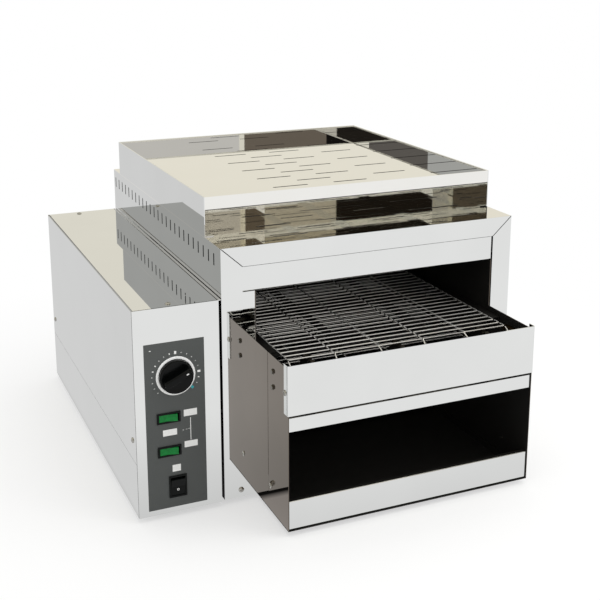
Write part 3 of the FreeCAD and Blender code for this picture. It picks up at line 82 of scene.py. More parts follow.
def finishMaterial(tree, settings, links):
    shader = addNode(tree, "ShaderNodeBsdfPrincipled", settings, links)
    addNode(tree, "ShaderNodeOutputMaterial", None, {"Surface": shader.outputs[0]})


noiseRange = {"From Min": 0.3, "From Max": 0.7}  # where nearly all values of a noise lie

# Bright annealed stainless sheet: rolled, so it mirrors, with faint lines along the roll that
# are drawn as coarse as they need to show
sheetLook = {"roughLow": 0.006, "roughHigh": 0.02, "lineMm": 0.8, "runMm": 160, "cloudMm": 90,
             "bump": 0.003, "bumpMm": 0.05, "shadeRough": 0.7}


def rolledColour(tree, place, light, dark, along):
    # faint clouds for the colour, lines along the roll for the gloss and the bump
    fine = 1 / (sheetLook["lineMm"] * mm)
    long = 1 / (sheetLook["runMm"] * mm)
    stretch = [long if axis == along else fine for axis in "XYZ"]
    turned = addNode(tree, "ShaderNodeMapping", {"Scale": stretch}, {"Vector": place})
    lines = addNode(tree, "ShaderNodeTexNoise", {"Scale": 1.0, "Detail": 3.0},
                    {"Vector": turned.outputs[0]}).outputs[0]
    cloud = addNode(tree, "ShaderNodeTexNoise",
                    {"Scale": 1 / (sheetLook["cloudMm"] * mm), "Detail": 2.0},
                    {"Vector": place}).outputs[0]
    colour = addNode(tree, "ShaderNodeMix",
                     {"data_type": "RGBA", 6: toLinear(dark), 7: toLinear(light)}, {0: cloud})
    rough = addNode(tree, "ShaderNodeMapRange",
                    {**noiseRange, "To Min": sheetLook["roughLow"],
                     "To Max": sheetLook["roughHigh"]}, {"Value": lines})
    bump = addNode(tree, "ShaderNodeBump", {"Strength": sheetLook["bump"],
                                            "Distance": sheetLook["bumpMm"] * mm},
                   {"Height": lines})
    return colour.outputs[2], rough.outputs[0], bump.outputs[0]


def rolledStainless(name, light, dark, along):
    material, tree, place = newMaterial(name)
    colour, rough, bump = rolledColour(tree, place, light, dark, along)
    finishMaterial(tree, {"Metallic": 1.0},
                   {"Base Color": colour, "Roughness": rough, "Normal": bump})
    return material


# Sheet with painted shade: the part that lies in the dark, such as the side towards the belt, is
# coloured near black. Along one axis, the distance from a middle place tells the sides apart:
# nearer than the limit gets the painted shade
def paintedShadeWithin(name, light, dark, axis, middle, limit, shadeColour="#0a0908"):
    material, tree, place = newMaterial(name)
    colour, rough, bump = rolledColour(tree, place, light, dark, "Z")
    parts = addNode(tree, "ShaderNodeSeparateXYZ", None, {0: place})
    offset = addNode(tree, "ShaderNodeMath", {"operation": "SUBTRACT", 1: middle},
                     {0: parts.outputs[axis]})
    away = addNode(tree, "ShaderNodeMath", {"operation": "ABSOLUTE"}, {0: offset.outputs[0]})
    unshaded = addNode(tree, "ShaderNodeMath", {"operation": "GREATER_THAN", 1: limit},
                    {0: away.outputs[0]}).outputs[0]
    mixed = addNode(tree, "ShaderNodeMix", {"data_type": "RGBA", 6: toLinear(shadeColour)},
                    {0: unshaded, 7: colour})
    gloss = addNode(tree, "ShaderNodeMix", {"data_type": "FLOAT", 2: sheetLook["shadeRough"]},
                    {0: unshaded, 3: rough})
    finishMaterial(tree, None, {"Base Color": mixed.outputs[2], "Metallic": unshaded,
                                "Roughness": gloss.outputs[0], "Normal": bump})
    return material


# Anything moulded, cast, rubbed or painted: one fine grain in colour, gloss and bump
grainLook = {"glossSpread": 0.15, "bump": 0.1, "bumpMm": 0.1}


def grained(name, light, dark, grainMm, rough, settings=None, bump=grainLook["bump"]):
    material, tree, place = newMaterial(name)
    grain = addNode(tree, "ShaderNodeTexNoise", {"Scale": 1 / (grainMm * mm), "Detail": 4.0},
                    {"Vector": place}).outputs[0]
    colour = addNode(tree, "ShaderNodeMix",
                     {"data_type": "RGBA", 6: toLinear(dark), 7: toLinear(light)}, {0: grain})
    gloss = addNode(tree, "ShaderNodeMapRange",
                    {**noiseRange, "To Min": rough * (1 - grainLook["glossSpread"]),
                     "To Max": rough * (1 + grainLook["glossSpread"])}, {"Value": grain})
    lift = addNode(tree, "ShaderNodeBump",
                   {"Strength": bump, "Distance": grainLook["bumpMm"] * mm},
                   {"Height": grain})
    finishMaterial(tree, settings, {"Base Color": colour.outputs[2],
                                    "Roughness": gloss.outputs[0], "Normal": lift.outputs[0]})
    return material


metal = {"Metallic": 1.0}
matt = {"Specular IOR Level": 0.15}

# casing and lid mirror the studio almost as glass does; the lid's roll runs across
casingSteel = rolledStainless("bright annealed stainless, rolled", "#ecedec", "#e6e7e6", "Z")
lidSteel = rolledStainless("bright annealed stainless lid, rolled", "#f8f6f2", "#f4f2ed", "X")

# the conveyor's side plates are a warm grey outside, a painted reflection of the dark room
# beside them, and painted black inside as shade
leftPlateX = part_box("conveyor_side_left")[0][0]
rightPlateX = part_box("conveyor_side_right")[1][0]
conveyorMiddle = (leftPlateX + rightPlateX) / 2
plateSkin = 0.6 * mm
plateSteelWithPaintedShade = paintedShadeWithin("heat tinted stainless plate, rolled", "#7f746a", "#70665c", 0,
                             conveyorMiddle, rightPlateX - conveyorMiddle - plateSkin)

# the slots' walls, between the sheet's two faces, are painted dark as shade in the slots.
# These faces are the two heights that most of the floor's points have
floorMesh = nodes["warming_tray_floor"].data
floorPoints = np.empty(3 * len(floorMesh.vertices), np.float32)
floorMesh.vertices.foreach_get("co", floorPoints)
heights, counts = np.unique(np.round(floorPoints[2::3].astype(float), 6), return_counts=True)
sheetFaces = np.sort(heights[np.argsort(counts)[-2:]])
faceSkin = 0.08 * mm
trayFloorSteel = paintedShadeWithin("bright annealed stainless tray floor, laser cut", "#f8f7f4",
                                 "#f4f3ee", 2, float(sheetFaces.mean()),
                                 float(np.ptp(sheetFaces)) / 2 - faceSkin, "#1c1713")

# the drawer is bright on its front and painted dark behind it, as shade
drawerLow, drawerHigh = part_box("collecting_tray")
drawerMiddle = (drawerLow[1] + drawerHigh[1]) / 2
drawerSkin = 1.5 * mm
drawerSteelPaintedShade = paintedShadeWithin("stainless drawer, painted dark inside as shade", "#ecedec", "#e6e7e6",
                             1, drawerMiddle, drawerHigh[1] - drawerMiddle - drawerSkin)

# matt black on the inside pieces is painted shade, so that the inside stays black
paintedShadeBlack = grained("matt black, painted shade of the inside", "#070606", "#040303", 3, 0.75)
# wire is drawn smooth and glints, and crumbs dull it a little
wireSteel = grained("bright drawn stainless wire", "#fbfaf7", "#e6e4df", 4, 0.22,
                    {"Metallic": 0.7})
# turned bar is coloured near black, painted shade for the dark gap at the front roller, with oil
# in its fine marks; dark oil lies in the fine marks of the chain
turnedSteelPaintedShade = grained("turned steel bar, oiled and painted dark as shade", "#3a3733", "#292724", 2, 0.4, metal)
chainSteel = grained("oiled roller chain steel", "#4a4742", "#2e2c29", 2, 0.35, metal)
# heads of screws shine in small spots, and the bolts are a darker grey
screwSteel = grained("cold headed stainless screw", "#c9c7c2", "#aeaca6", 1, 0.2, metal)
boltSteel = grained("bright zinc bolt, darker grey", "#87827a", "#5d5953", 1, 0.25, metal)
# oil darkens the bronze's pores
bearingBronze = grained("sintered bronze, oiled", "#4b3c24", "#35291a", 0.8, 0.5, metal)
# a dull dark skin of oxide on the elements, and chalky collars at their ends, coloured dark as
# painted shade
elementSheath = grained("oxidised alloy heater sheath", "#24201e", "#181514", 3, 0.6,
                        {"Metallic": 0.6})
steatite = grained("steatite ceramic, painted dark as shade", "#241f1b", "#171412", 5, 0.5)
# soft grey spangle
aluminised = grained("aluminised steel sheet", "#8f8f8c", "#777774", 6, 0.45, metal)
# the film's fine matt grain breaks up reflections, and ink lies on it a little glossier
overlayFilm = grained("printed polyester film, matt", "#4d504f", "#484b4a", 0.6, 0.55, None,
                      0.05)
whiteInk = grained("white ink, screen printed", "#f1f1ef", "#e6e6e4", 0.8, 0.5)
tealInk = grained("teal ink, screen printed", "#22a3ab", "#1b949c", 0.8, 0.5)
# moulded plastics: spark grain on the switches, a polished knob, and a clear green lens
blackAbs = grained("black ABS, moulded", "#0c100f", "#070a09", 0.8, 0.35, matt)
knobPhenolic = grained("black phenolic, moulded and polished", "#070909", "#030404", 1.5, 0.2,
                       matt)
greenLens = grained("tinted polycarbonate lens, moulded and lit from behind", "#128a3c",
                    "#06461c", 5, 0.15,
                    {"Emission Color": toLinear("#0f8a38"), "Emission Strength": 0.04,
                     "Specular IOR Level": 0.2})
ringAbs = grained("white ABS ring, moulded", "#fdfdfc", "#f6f6f5", 2, 0.3)
creamThermoset = grained("cream thermoset, moulded", "#cfc6ad", "#bdb398", 2, 0.45)
# sprayed enamel has a slight orange peel
motorEnamel = grained("grey motor enamel, sprayed", "#3d4043", "#323538", 4, 0.4)
footRubber = grained("black rubber, moulded", "#1a1a1a", "#111111", 1.2, 0.75)
# a joint's depth, which hardly any light leaves
seamBlack = grained("shadowed joint, unpainted", "#141414", "#0c0c0c", 2, 0.8)

finishes = {
    casingSteel: ["left_side_panel", "right_side_panel", "back_panel", "front_frame_left",
                  "front_frame_right", "front_frame_top", "hood_panel", "left_jamb",
                  "feed_apron", "cross_rail", "control_base", "control_cover",
                  "control_front", "control_back", "warming_tray_walls", "base_pan"],
    drawerSteelPaintedShade: ["collecting_tray"],
    lidSteel: ["top_plate"],
    trayFloorSteel: ["warming_tray_floor"],
    plateSteelWithPaintedShade: ["conveyor_side_left", "conveyor_side_right"],
    # inside pieces, coloured black as painted shade
    paintedShadeBlack: ["return_chute", "rear_deflector", "heat_reflector", "belt_guide_left",
                 "belt_guide_right", "belt_rail_left", "belt_rail_right",
                 "belt_cross_bars", "feed_floor"],
    turnedSteelPaintedShade: ["front_shaft", "drive_shaft", "front_sprockets", "rear_sprockets",
                  "drive_sprocket", "motor_sprocket", "motor_shaft", "regulator_spindle",
                  "box_spacers"],
    bearingBronze: ["shaft_bearings"],
    elementSheath: ["heating_elements"],
    steatite: ["element_collars"],
    aluminised: ["motor_bracket"],
    overlayFilm: ["control_overlay"],
    blackAbs: ["heat_switch_cases", "main_switch_case", "main_switch_rocker",
               "cable_gland", "speed_regulator"],
    greenLens: ["upper_heat_rocker", "lower_heat_rocker"],
    creamThermoset: ["terminal_block"],
    chainSteel: ["drive_chain"],
    motorEnamel: ["gearmotor"],
}
for material, names in finishes.items():
    for name in names:
        nodes[name].data.materials.clear()
        nodes[name].data.materials.append(material)
print("materials made")


# Surfaces: every maker gives (points, faces), and makePiece joins them into one mesh

def gridFaces(rows, columns, wrapRows=False):
    # quads of a grid of closed rows. Point j of row i has number i x columns + j
    row = np.arange(rows if wrapRows else rows - 1)[:, None]
    here = np.arange(columns)
    after = (here + 1) % columns
    near, far = row * columns, (row + 1) % rows * columns
    return np.stack((near + here, near + after, far + after, far + here),
                    -1).reshape(-1, 4).tolist()


def capFaces(rows, columns):
    # the polygons that close the grid's first and last row
    last = (rows - 1) * columns
    return [tuple(range(columns))[::-1], tuple(range(last, last + columns))]


def axesFor(outward):
    # two directions square to the outward one, the first of them upwards unless that is up
    outward = np.array(outward, float)
    side = np.array((0, 0, 1.0)) if abs(outward[2]) < 0.9 else np.array((1.0, 0, 0))
    side = side - side.dot(outward) * outward
    side /= np.linalg.norm(side)
    return side, np.cross(outward, side), outward


def lathe(profile, place, outward, segments=48, ring=False):
    # turned form: place + radius x (cos, sin) of the angle + height along the outward axis, for
    # (radius, height) pairs in mm. A ring's profile closes on itself
    side, across, along = axesFor(outward)
    angles = np.arange(segments) * 2 * math.pi / segments
    rounds = np.cos(angles)[:, None] * side + np.sin(angles)[:, None] * across
    radius, height = np.array(profile, float).T[:, :, None, None]
    points = np.array(place) + mm * (radius * rounds + height * along)
    faces = gridFaces(len(profile), segments, ring)
    if not ring:
        faces += capFaces(len(profile), segments)
    return points.reshape(-1, 3), faces


def loft(loops, place, across, up, outward):
    # closed loops at growing heights: place + u x across + v x up + height x outward, for the
    # loop's (u, v) points in mm
    across, up, outward = np.array((across, up, outward), float)
    heights = np.array([height for height, loop in loops])[:, None, None]
    flat = np.array([loop for height, loop in loops])
    points = np.array(place) + mm * (flat[..., :1] * across + flat[..., 1:] * up
                                     + heights * outward)
    rows, columns = flat.shape[:2]
    return points.reshape(-1, 3), gridFaces(rows, columns) + capFaces(rows, columns)


def roundedLoop(halfLong, halfWide, corner, steps=6):
    # rectangle whose corners are quarter circles: the quarter's centre + corner x (cos, sin)
    quarter = np.arange(4)[:, None]
    angle = (quarter + np.linspace(0, 1, steps + 1)) * math.pi / 2
    middle = (quarter + 0.5) * math.pi / 2
    x = np.sign(np.cos(middle)) * (halfLong - corner) + corner * np.cos(angle)
    y = np.sign(np.sin(middle)) * (halfWide - corner) + corner * np.sin(angle)
    return np.column_stack((x.ravel(), y.ravel()))


def tube(path, up, radius, sides=8, closed=False):
    # round bar along a path whose bends lie square to the up direction: the path's point
    # + radius x (cos of the angle x across + sin x up), where across is ahead x up
    path, up = np.array(path, float), np.array(up, float)
    if closed:
        ahead = np.roll(path, -1, 0) - np.roll(path, 1, 0)
    else:
        ahead = np.gradient(path, axis=0)
    ahead /= np.linalg.norm(ahead, axis=1)[:, None]
    across = np.cross(ahead, up)
    angles = np.arange(sides)[:, None] * 2 * math.pi / sides
    points = path[:, None] + radius * (np.cos(angles) * across[:, None] + np.sin(angles) * up)
    faces = gridFaces(len(path), sides, closed)
    if not closed:
        faces += capFaces(len(path), sides)
    return points.reshape(-1, 3), faces


sharpAngle = 35  # degrees past which an edge stays sharp, unless the piece gives its own


def makePiece(piece, parts):
    # one object of all the parts, faces outwards, riding on its body for the nodes it replaces
    points, faces, start = [], [], 0
    for partPoints, partFaces in parts:
        points.append(partPoints)
        faces += [tuple(start + i for i in face) for face in partFaces]
        start += len(partPoints)
    mesh = bpy.data.meshes.new(piece["name"])
    mesh.from_pydata(np.concatenate(points).tolist(), [], faces)
    shape = bmesh.new()
    shape.from_mesh(mesh)
    bmesh.ops.recalc_face_normals(shape, faces=shape.faces)
    shape.to_mesh(mesh)
    shape.free()
    mesh.shade_smooth()
    mesh.set_sharp_from_angle(angle=math.radians(piece.get("sharp", sharpAngle)))
    mesh.materials.append(piece["material"])
    made = bpy.data.objects.new(piece["name"], mesh)
    bpy.context.scene.collection.objects.link(made)
    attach(made, piece.get("body", "oven"))
    if piece.get("replaces"):
        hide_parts(*piece["replaces"])


def middleOf(node):
    low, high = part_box(node)
    return (np.array(low) + np.array(high)) / 2


# The wire belt. Each strand is a square wave one pitch high: it runs along its own row, and at
# each link changes to the next row by a smooth step. Its ends close in a short curve
belt = {"name": "beltWires", "material": wireSteel, "replaces": ["mesh_belt"], "pitch": 14.24,
        "teeth": 12, "run": 38, "wire": 1.7, "spaces": 5, "bend": 2.6, "bendPoints": 9,
        "edgeIn": (0, 0, 0.3, 1.7), "edgeLevel": (0.86, 0.43, 0.12, 0)}


def shaftAxes():
    # the front shaft, and the drive shaft a whole number of pitches behind it
    first, last = middleOf("front_shaft"), middleOf("drive_shaft")
    last[1] = first[1] + belt["pitch"] * belt["run"] * mm
    return first, last


def beltRows():
    # (y, z) of every row. Above and below, row i is i + 1/2 pitches from a shaft. Round a shaft,
    # rows are the corners of a polygon with sides of one pitch: radius = pitch / (2 sin of half
    # a tooth's angle)
    pitch, half = belt["pitch"] * mm, math.pi / belt["teeth"]
    radius = pitch / 2 / math.sin(half)
    first, last = shaftAxes()
    straight = pitch * (np.arange(belt["run"]) + 0.5)
    rise = np.full(belt["run"], radius * math.cos(half))
    turn = half * (2 * np.arange(belt["teeth"] // 2) + 1)
    out, up = radius * np.sin(turn), radius * np.cos(turn)
    rows = [np.column_stack(pair) for pair in (
        (first[1] + straight, first[2] + rise), (last[1] + out, first[2] + up),
        (last[1] - straight, first[2] - rise), (first[1] - out, first[2] - up))]
    return np.concatenate(rows)


def makeBelt():
    # across the belt, (x, level) of a strand's points: level 0 is its own row and 1 the next. A
    # link's step between them is (1 + sin) / 2 over its width
    low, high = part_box("mesh_belt")
    radius = belt["wire"] / 2 * mm
    left, right = low[0] + radius, high[0] - radius
    space = (right - left) / belt["spaces"]
    edgeX, edgeLevel = np.array(belt["edgeIn"]) * mm, np.array(belt["edgeLevel"])
    link = np.arange(1, belt["spaces"])[:, None]
    step = np.linspace(-1, 1, belt["bendPoints"])
    before = (link - 1) % 2
    linkX = left + space * link + step * belt["bend"] / 2 * mm
    linkLevel = before + (1 - 2 * before) * (1 + np.sin(step * math.pi / 2)) / 2
    x = np.concatenate((left + edgeX, linkX.ravel(), (right - edgeX)[::-1]))
    level = np.concatenate((edgeLevel, linkLevel.ravel(), edgeLevel[::-1]))
    rows = beltRows()
    parts = []
    for row, after in zip(rows, np.roll(rows, -1, 0)):
        chord = after - row
        unit = chord / np.linalg.norm(chord)
        path = np.column_stack((x, row[0] + level * chord[0], row[1] + level * chord[1]))
        parts.append(tube(path, (0, -unit[1], unit[0]), radius))
    makePiece(belt, parts)


makeBelt()
print("belt made")


# Screws and bolts

screws = {"name": "casingScrewHeads", "material": screwSteel, "replaces": ["casing_screws"],
          "head": 4.0, "crown": 2.0, "round": 0.85, "shank": 1.4, "shankLong": 3.0, "arm": 0.75,
          "reach": 2.3, "depth": 1.2, "taper": 0.5, "centre": 0.15, "wall": 0.12, "sides": 64,
          "sharp": 28}


def screwSeats():
    # where each head sits, and which way it looks. The solid has one closed shell for each
    # screw, most of whose points lie round its head, so their mean leans outwards
    shape = bmesh.new()
    shape.from_mesh(nodes["casing_screws"].data)
    bmesh.ops.remove_doubles(shape, verts=shape.verts, dist=0.001 * mm)
    left, seats = set(shape.verts), []
    while left:
        shell, edge = set(), {left.pop()}
        while edge:
            shell |= edge
            edge = {line.other_vert(end) for end in edge for line in end.link_edges} - shell
        left -= shell
        points = np.array([vertex.co for vertex in shell])
        middle = (points.min(0) + points.max(0)) / 2
        lean = points.mean(0) - middle
        axis = np.argmax(abs(lean))
        outward = np.zeros(3)
        outward[axis] = np.sign(lean[axis])
        half = np.ptp(points[:, axis]) / 2
        seats.append((middle + outward * (half - screws["crown"] * mm), outward))
    shape.free()
    return sorted(seats, key=lambda seat: seat[0].tolist())


def screwHead(place, outward):
    # polar grid of (radius, angle). Its height falls from the crown to the rim as a circle does,
    # crown x root of (1 - round x (radius / head)^2), and sinks where either arm of the crossed
    # recess passes. Three more rows close the rim and the shank below it
    side, across, along = axesFor(outward)
    reach, head, sides = screws["reach"], screws["head"], screws["sides"]
    radii = np.concatenate((np.linspace(screws["centre"], reach, 10),
                            np.linspace(reach + screws["wall"], head, 6)))[:, None]
    angles = np.arange(sides) * 2 * math.pi / sides
    dome = screws["crown"] * np.sqrt(1 - screws["round"] * (radii / head) ** 2)
    nearest = radii * np.minimum(abs(np.cos(angles)), abs(np.sin(angles)))
    recess = (radii <= reach) & (nearest < screws["arm"] / 2)
    height = dome - recess * screws["depth"] * (1 - screws["taper"] * radii / reach)
    below = np.array([(head, 0), (screws["shank"], 0), (screws["shank"], -screws["shankLong"])])
    radii = np.concatenate((radii, below[:, :1]))[..., None]
    height = np.concatenate((height, below[:, 1:] * np.ones(sides)))[..., None]
    rounds = np.cos(angles)[:, None] * side + np.sin(angles)[:, None] * across
    points = np.array(place) + mm * (radii * rounds + height * along)
    return points.reshape(-1, 3), gridFaces(len(radii), sides) + capFaces(len(radii), sides)


makePiece(screws, [screwHead(place, outward) for place, outward in screwSeats()])

bolts = {"name": "bearingBoltHeads", "material": boltSteel, "replaces": ["bearing_bolts"],
         "spacing": 22.4, "head": 3.6, "high": 2.4, "bevel": (0.6, 0.5), "washer": 4.1,
         "washerThick": 0.5, "shank": 2.0, "shankLong": 9.0, "shankSides": 24, "sharp": 30}


def makeBolts():
    # washer, six-sided head with its corners turned off, and shank
    low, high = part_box("bearing_bolts")
    rim, (bevelIn, bevelHigh) = bolts["washerThick"], bolts["bevel"]
    parts = []
    for centre in shaftAxes():
        for x, out in ((low[0], -1), (high[0], 1)):
            for up in (-0.5, 0.5):
                place = (x - out * bolts["high"] * mm, centre[1],
                         centre[2] + up * bolts["spacing"] * mm)
                axis = (out, 0, 0)
                parts.append(lathe([(bolts["washer"], 0), (bolts["washer"], rim)], place, axis))
                parts.append(lathe([(bolts["head"], rim),
                                    (bolts["head"], bolts["high"] - bevelHigh),
                                    (bolts["head"] - bevelIn, bolts["high"])], place, axis, 6))
                parts.append(lathe([(bolts["shank"], -bolts["shankLong"]),
                                    (bolts["shank"], rim)], place, axis, bolts["shankSides"]))
    makePiece(bolts, parts)


makeBolts()
print("fasteners made")


# Knob, ring and print of the control panel

dialMiddle = middleOf("dial_ring")
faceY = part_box("control_overlay")[0][1]
front = (0, -1, 0)

# the dish gives places in from the rim and down from the face; the grip's layers give heights
# above the disc and how far each draws in
knob = {"name": "speedKnob", "material": knobPhenolic, "body": "speed_dial",
        "replaces": ["speed_knob"], "radius": 23.7, "disc": 7.0, "bore": 3.2, "foot": 0.8,
        "edge": 1.6, "edgePoints": 6, "dish": ((3.6, 0.3), (5.5, 1.0), (21.7, 1.2)),
        "gripWide": 13.0, "gripLong": 42.0, "gripLean": 65, "gripCorner": 3.2,
        "gripLayers": ((-2, 0), (6.5, 1.0), (7.8, 1.4), (8.6, 2.1), (9.0, 3.2)), "sides": 96}
pointer = {"name": "knobPointer", "material": whiteInk, "body": "speed_dial", "out": 13.5,
           "halfLong": 1.7, "halfWide": 0.8, "corner": 0.3, "sunk": 0.2, "lift": 0.02}


def makeKnob():
    # turned disc with a rounded edge and a dished face, and a tapering grip across it
    place = (dialMiddle[0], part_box("speed_knob")[1][1], dialMiddle[2])
    radius, disc, edge = knob["radius"], knob["disc"], knob["edge"]
    turn = np.linspace(0.2, math.pi / 2, knob["edgePoints"])
    profile = [(knob["bore"], 0), (radius - knob["foot"], 0), (radius, knob["foot"]),
               (radius, disc - edge)]
    profile += np.column_stack((radius - edge + edge * np.cos(turn),
                                disc - edge + edge * np.sin(turn))).tolist()
    profile += [(radius - inwards, disc - down) for inwards, down in knob["dish"]]
    lean = math.radians(knob["gripLean"])
    across = (math.sin(lean), 0, math.cos(lean))
    up = (-math.cos(lean), 0, math.sin(lean))
    loops = [(disc + height, roundedLoop(knob["gripLong"] / 2 - inset,
                                         knob["gripWide"] / 2 - inset, knob["gripCorner"]))
             for height, inset in knob["gripLayers"]]
    makePiece(knob, [lathe(profile, place, front, knob["sides"]),
                     loft(loops, place, across, up, front)])
    # pointer line printed along the grip's end
    top = disc + knob["gripLayers"][-1][0]
    start = np.array(place) + mm * pointer["out"] * np.array(across)
    loop = roundedLoop(pointer["halfLong"], pointer["halfWide"], pointer["corner"])
    makePiece(pointer, [loft([(top - pointer["sunk"], loop), (top + pointer["lift"], loop)],
                             start, across, up, front)])


makeKnob()

ring = {"name": "dialRing", "material": ringAbs, "replaces": ["dial_ring"], "inner": 23.9,
        "outer": 27.5, "high": 1.4, "bevel": 0.4, "sides": 96}


def makeRing():
    # closed section with both upper edges bevelled, turned round the dial
    inner, outer, high, bevel = (ring[key] for key in ("inner", "outer", "high", "bevel"))
    profile = [(inner, 0), (inner, high - bevel), (inner + bevel, high), (outer - bevel, high),
               (outer, high - bevel), (outer, 0)]
    makePiece(ring, [lathe(profile, (dialMiddle[0], faceY, dialMiddle[2]), front,
                           ring["sides"], True)])


makeRing()

# Print. Labels and lines are (across and up from the dial's centre, half width, half height),
# and ticks (half length, half width). Ticks stand round the dial at equal angles, and the two
# big ones mark its middle and its fast end
ink = {"name": "panelPrint", "material": whiteInk, "lift": 0.06, "sunk": 0.02, "corner": 0.25,
       "cornerMost": 0.8, "ticks": 18, "tickOut": 33.0, "firstTick": -130, "tickStep": 14.5,
       "tick": (0.9, 0.35), "midTick": (1.2, 0.65), "bigTick": (2.1, 1.5),
       "midTicks": (4, 5, 8, 16), "bigTicks": (9, 15),
       "labels": ((19.4, -56.3, 9.4, 4.8), (-10.1, -81.0, 9.9, 4.5), (19.4, -102.5, 9.4, 4.5),
                  (-2.1, -135.0, 5.9, 5.0), (-34.5, 40.0, 1.3, 0.5)),
       "lines": ((19.3, -80.5, 0.45, 16.5), (13.6, -80.3, 1.0, 0.3), (8.6, -80.8, 1.0, 0.3),
                 (17.0, -79.9, 1.0, 0.3))}
slowMark = {"name": "slowMark", "material": tealInk, "out": 30.6, "size": (2.0, 1.8)}


def patch(across, up, halfLong, halfWide, lean=0):
    # flat printed mark, its length leaning clockwise from upright by the angle given
    turn = math.radians(lean)
    corner = min(ink["corner"], halfWide * ink["cornerMost"], halfLong * ink["cornerMost"])
    loop = roundedLoop(halfWide, halfLong, corner, 3)
    place = (dialMiddle[0] + across * mm, faceY, dialMiddle[2] + up * mm)
    return loft([(-ink["sunk"], loop), (ink["lift"], loop)], place,
                (math.cos(turn), 0, -math.sin(turn)), (math.sin(turn), 0, math.cos(turn)),
                front)


def roundDial(index, distance, halfLong, halfWide):
    # mark at distance x (sin, cos) of its angle, clockwise from the top, and leaning with it
    lean = ink["firstTick"] + ink["tickStep"] * index
    turn = math.radians(lean)
    return patch(distance * math.sin(turn), distance * math.cos(turn), halfLong, halfWide,
                 lean)


def makePrint():
    marks = [patch(x, z, high, wide) for x, z, wide, high in ink["labels"] + ink["lines"]]
    for i in range(ink["ticks"]):
        kind = ("bigTick" if i in ink["bigTicks"] else
                "midTick" if i in ink["midTicks"] else "tick")
        marks.append(roundDial(i, ink["tickOut"], *ink[kind]))
    makePiece(ink, marks)
    makePiece(slowMark, [roundDial(ink["ticks"], slowMark["out"], *slowMark["size"])])


rockerMark = {"name": "mainRockerMark", "material": whiteInk, "body": "main_rocker",
              "inner": 1.0, "outer": 1.7, "share": 0.33, "lift": 0.05, "sunk": 0.02,
              "away": 50, "sides": 32}


def makeRockerMark():
    # ring printed on the lower half of the main rocker. A ray from in front of it, at a share of
    # its height, finds where its face is and how it leans
    mesh = nodes["main_switch_rocker"].data
    tree = BVHTree.FromPolygons([v.co for v in mesh.vertices],
                                [tuple(p.vertices) for p in mesh.polygons])
    low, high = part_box("main_switch_rocker")
    start = Vector(((low[0] + high[0]) / 2, low[1] - rockerMark["away"] * mm,
                    low[2] + rockerMark["share"] * (high[2] - low[2])))
    place, normal = tree.ray_cast(start, Vector((0, 1, 0)))[:2]
    inner, outer = rockerMark["inner"], rockerMark["outer"]
    profile = [(inner, -rockerMark["sunk"]), (inner, rockerMark["lift"]),
               (outer, rockerMark["lift"]), (outer, -rockerMark["sunk"])]
    makePiece(rockerMark, [lathe(profile, place, normal, rockerMark["sides"], True)])


makePrint()
makeRockerMark()
print("panel made")


# Seams: dark joints round the control front and along the frame's mitres

seam = {"name": "panelSeams", "material": seamBlack, "wide": 0.9, "lift": 0.09, "sunk": 0.3,
        "corner": 0.2, "frontFold": 1.4}


def seamBar(start, end, outward):
    # flat dark line between two points of a face, short of each by half its width
    start, end = np.array(start, float), np.array(end, float)
    ahead = end - start
    length = np.linalg.norm(ahead) / mm - seam["wide"]
    loop = roundedLoop(length / 2, seam["wide"] / 2, seam["corner"], 2)
    ahead /= np.linalg.norm(ahead)
    return loft([(-seam["sunk"], loop), (seam["lift"], loop)], (start + end) / 2, ahead,
                np.cross(outward, ahead), outward)


def makeSeams():
    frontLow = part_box("control_front")[0]
    coverLow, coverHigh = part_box("control_cover")
    foldY = frontLow[1] + seam["frontFold"] * mm
    corner = (coverLow[0], foldY, coverHigh[2])
    parts = [seamBar((coverLow[0], foldY, frontLow[2]), corner, (-1, 0, 0)),
             seamBar(corner, (coverHigh[0], foldY, coverHigh[2]), (0, 0, 1))]
    leftLow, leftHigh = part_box("front_frame_left")
    rightLow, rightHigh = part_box("front_frame_right")
    topLow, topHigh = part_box("front_frame_top")
    for outer, inner in ((leftLow[0], leftHigh[0]), (rightHigh[0], rightLow[0])):
        parts.append(seamBar((outer, topLow[1], topHigh[2]), (inner, topLow[1], topLow[2]),
                             front))
    makePiece(seam, parts)


makeSeams()
print("seams made")


# Bare plates: the strip that closes most of the gap beside the control box, and the dark
# screen inside the rear vents, a dark sheet that stands for the shade behind them

strip = {"name": "gapStrip", "material": lidSteel, "thick": 0.8, "open": 1.0}
screen = {"name": "rearVentShadeScreen", "material": paintedShadeBlack, "thick": 0.6, "set": 2.6,
          "margin": 6.0}


def plate(low, high):
    # flat rectangular sheet between two corners: its outline at the low and the high level
    outline = np.array([(low[0], low[1]), (high[0], low[1]), (high[0], high[1]),
                        (low[0], high[1])])
    points = [np.column_stack((outline, np.full(4, level))) for level in (low[2], high[2])]
    return np.concatenate(points), gridFaces(2, 4) + capFaces(2, 4)


def makePlates():
    coverLow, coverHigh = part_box("control_cover")
    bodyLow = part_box("left_side_panel")[0]
    makePiece(strip, [plate((coverHigh[0], coverLow[1], coverHigh[2] - strip["thick"] * mm),
                            (bodyLow[0] - strip["open"] * mm, coverHigh[1], coverHigh[2]))])
    low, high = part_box("back_panel")
    edge, inside = screen["margin"] * mm, high[1] - screen["set"] * mm
    makePiece(screen, [plate((low[0] + edge, inside - screen["thick"] * mm, low[2] + edge),
                             (high[0] - edge, inside, high[2] - edge))])


makePlates()
print("plates made")


# Feet, and the closed hem round the warming tray's rim

# the tread gives (radius, height) from the floor, and the neck (radius, depth) from the top
feet = {"name": "rubberFeet", "material": footRubber, "replaces": ["feet"], "radius": 16.0,
        "tread": ((10.0, 1.2), (12.0, 0), (15.0, 0), (16.0, 1.0)),
        "neck": ((15.2, 0.5), (14.8, 0))}
hem = {"name": "trayHem", "material": casingSteel, "radius": 1.3, "corner": 1.5, "sides": 12}


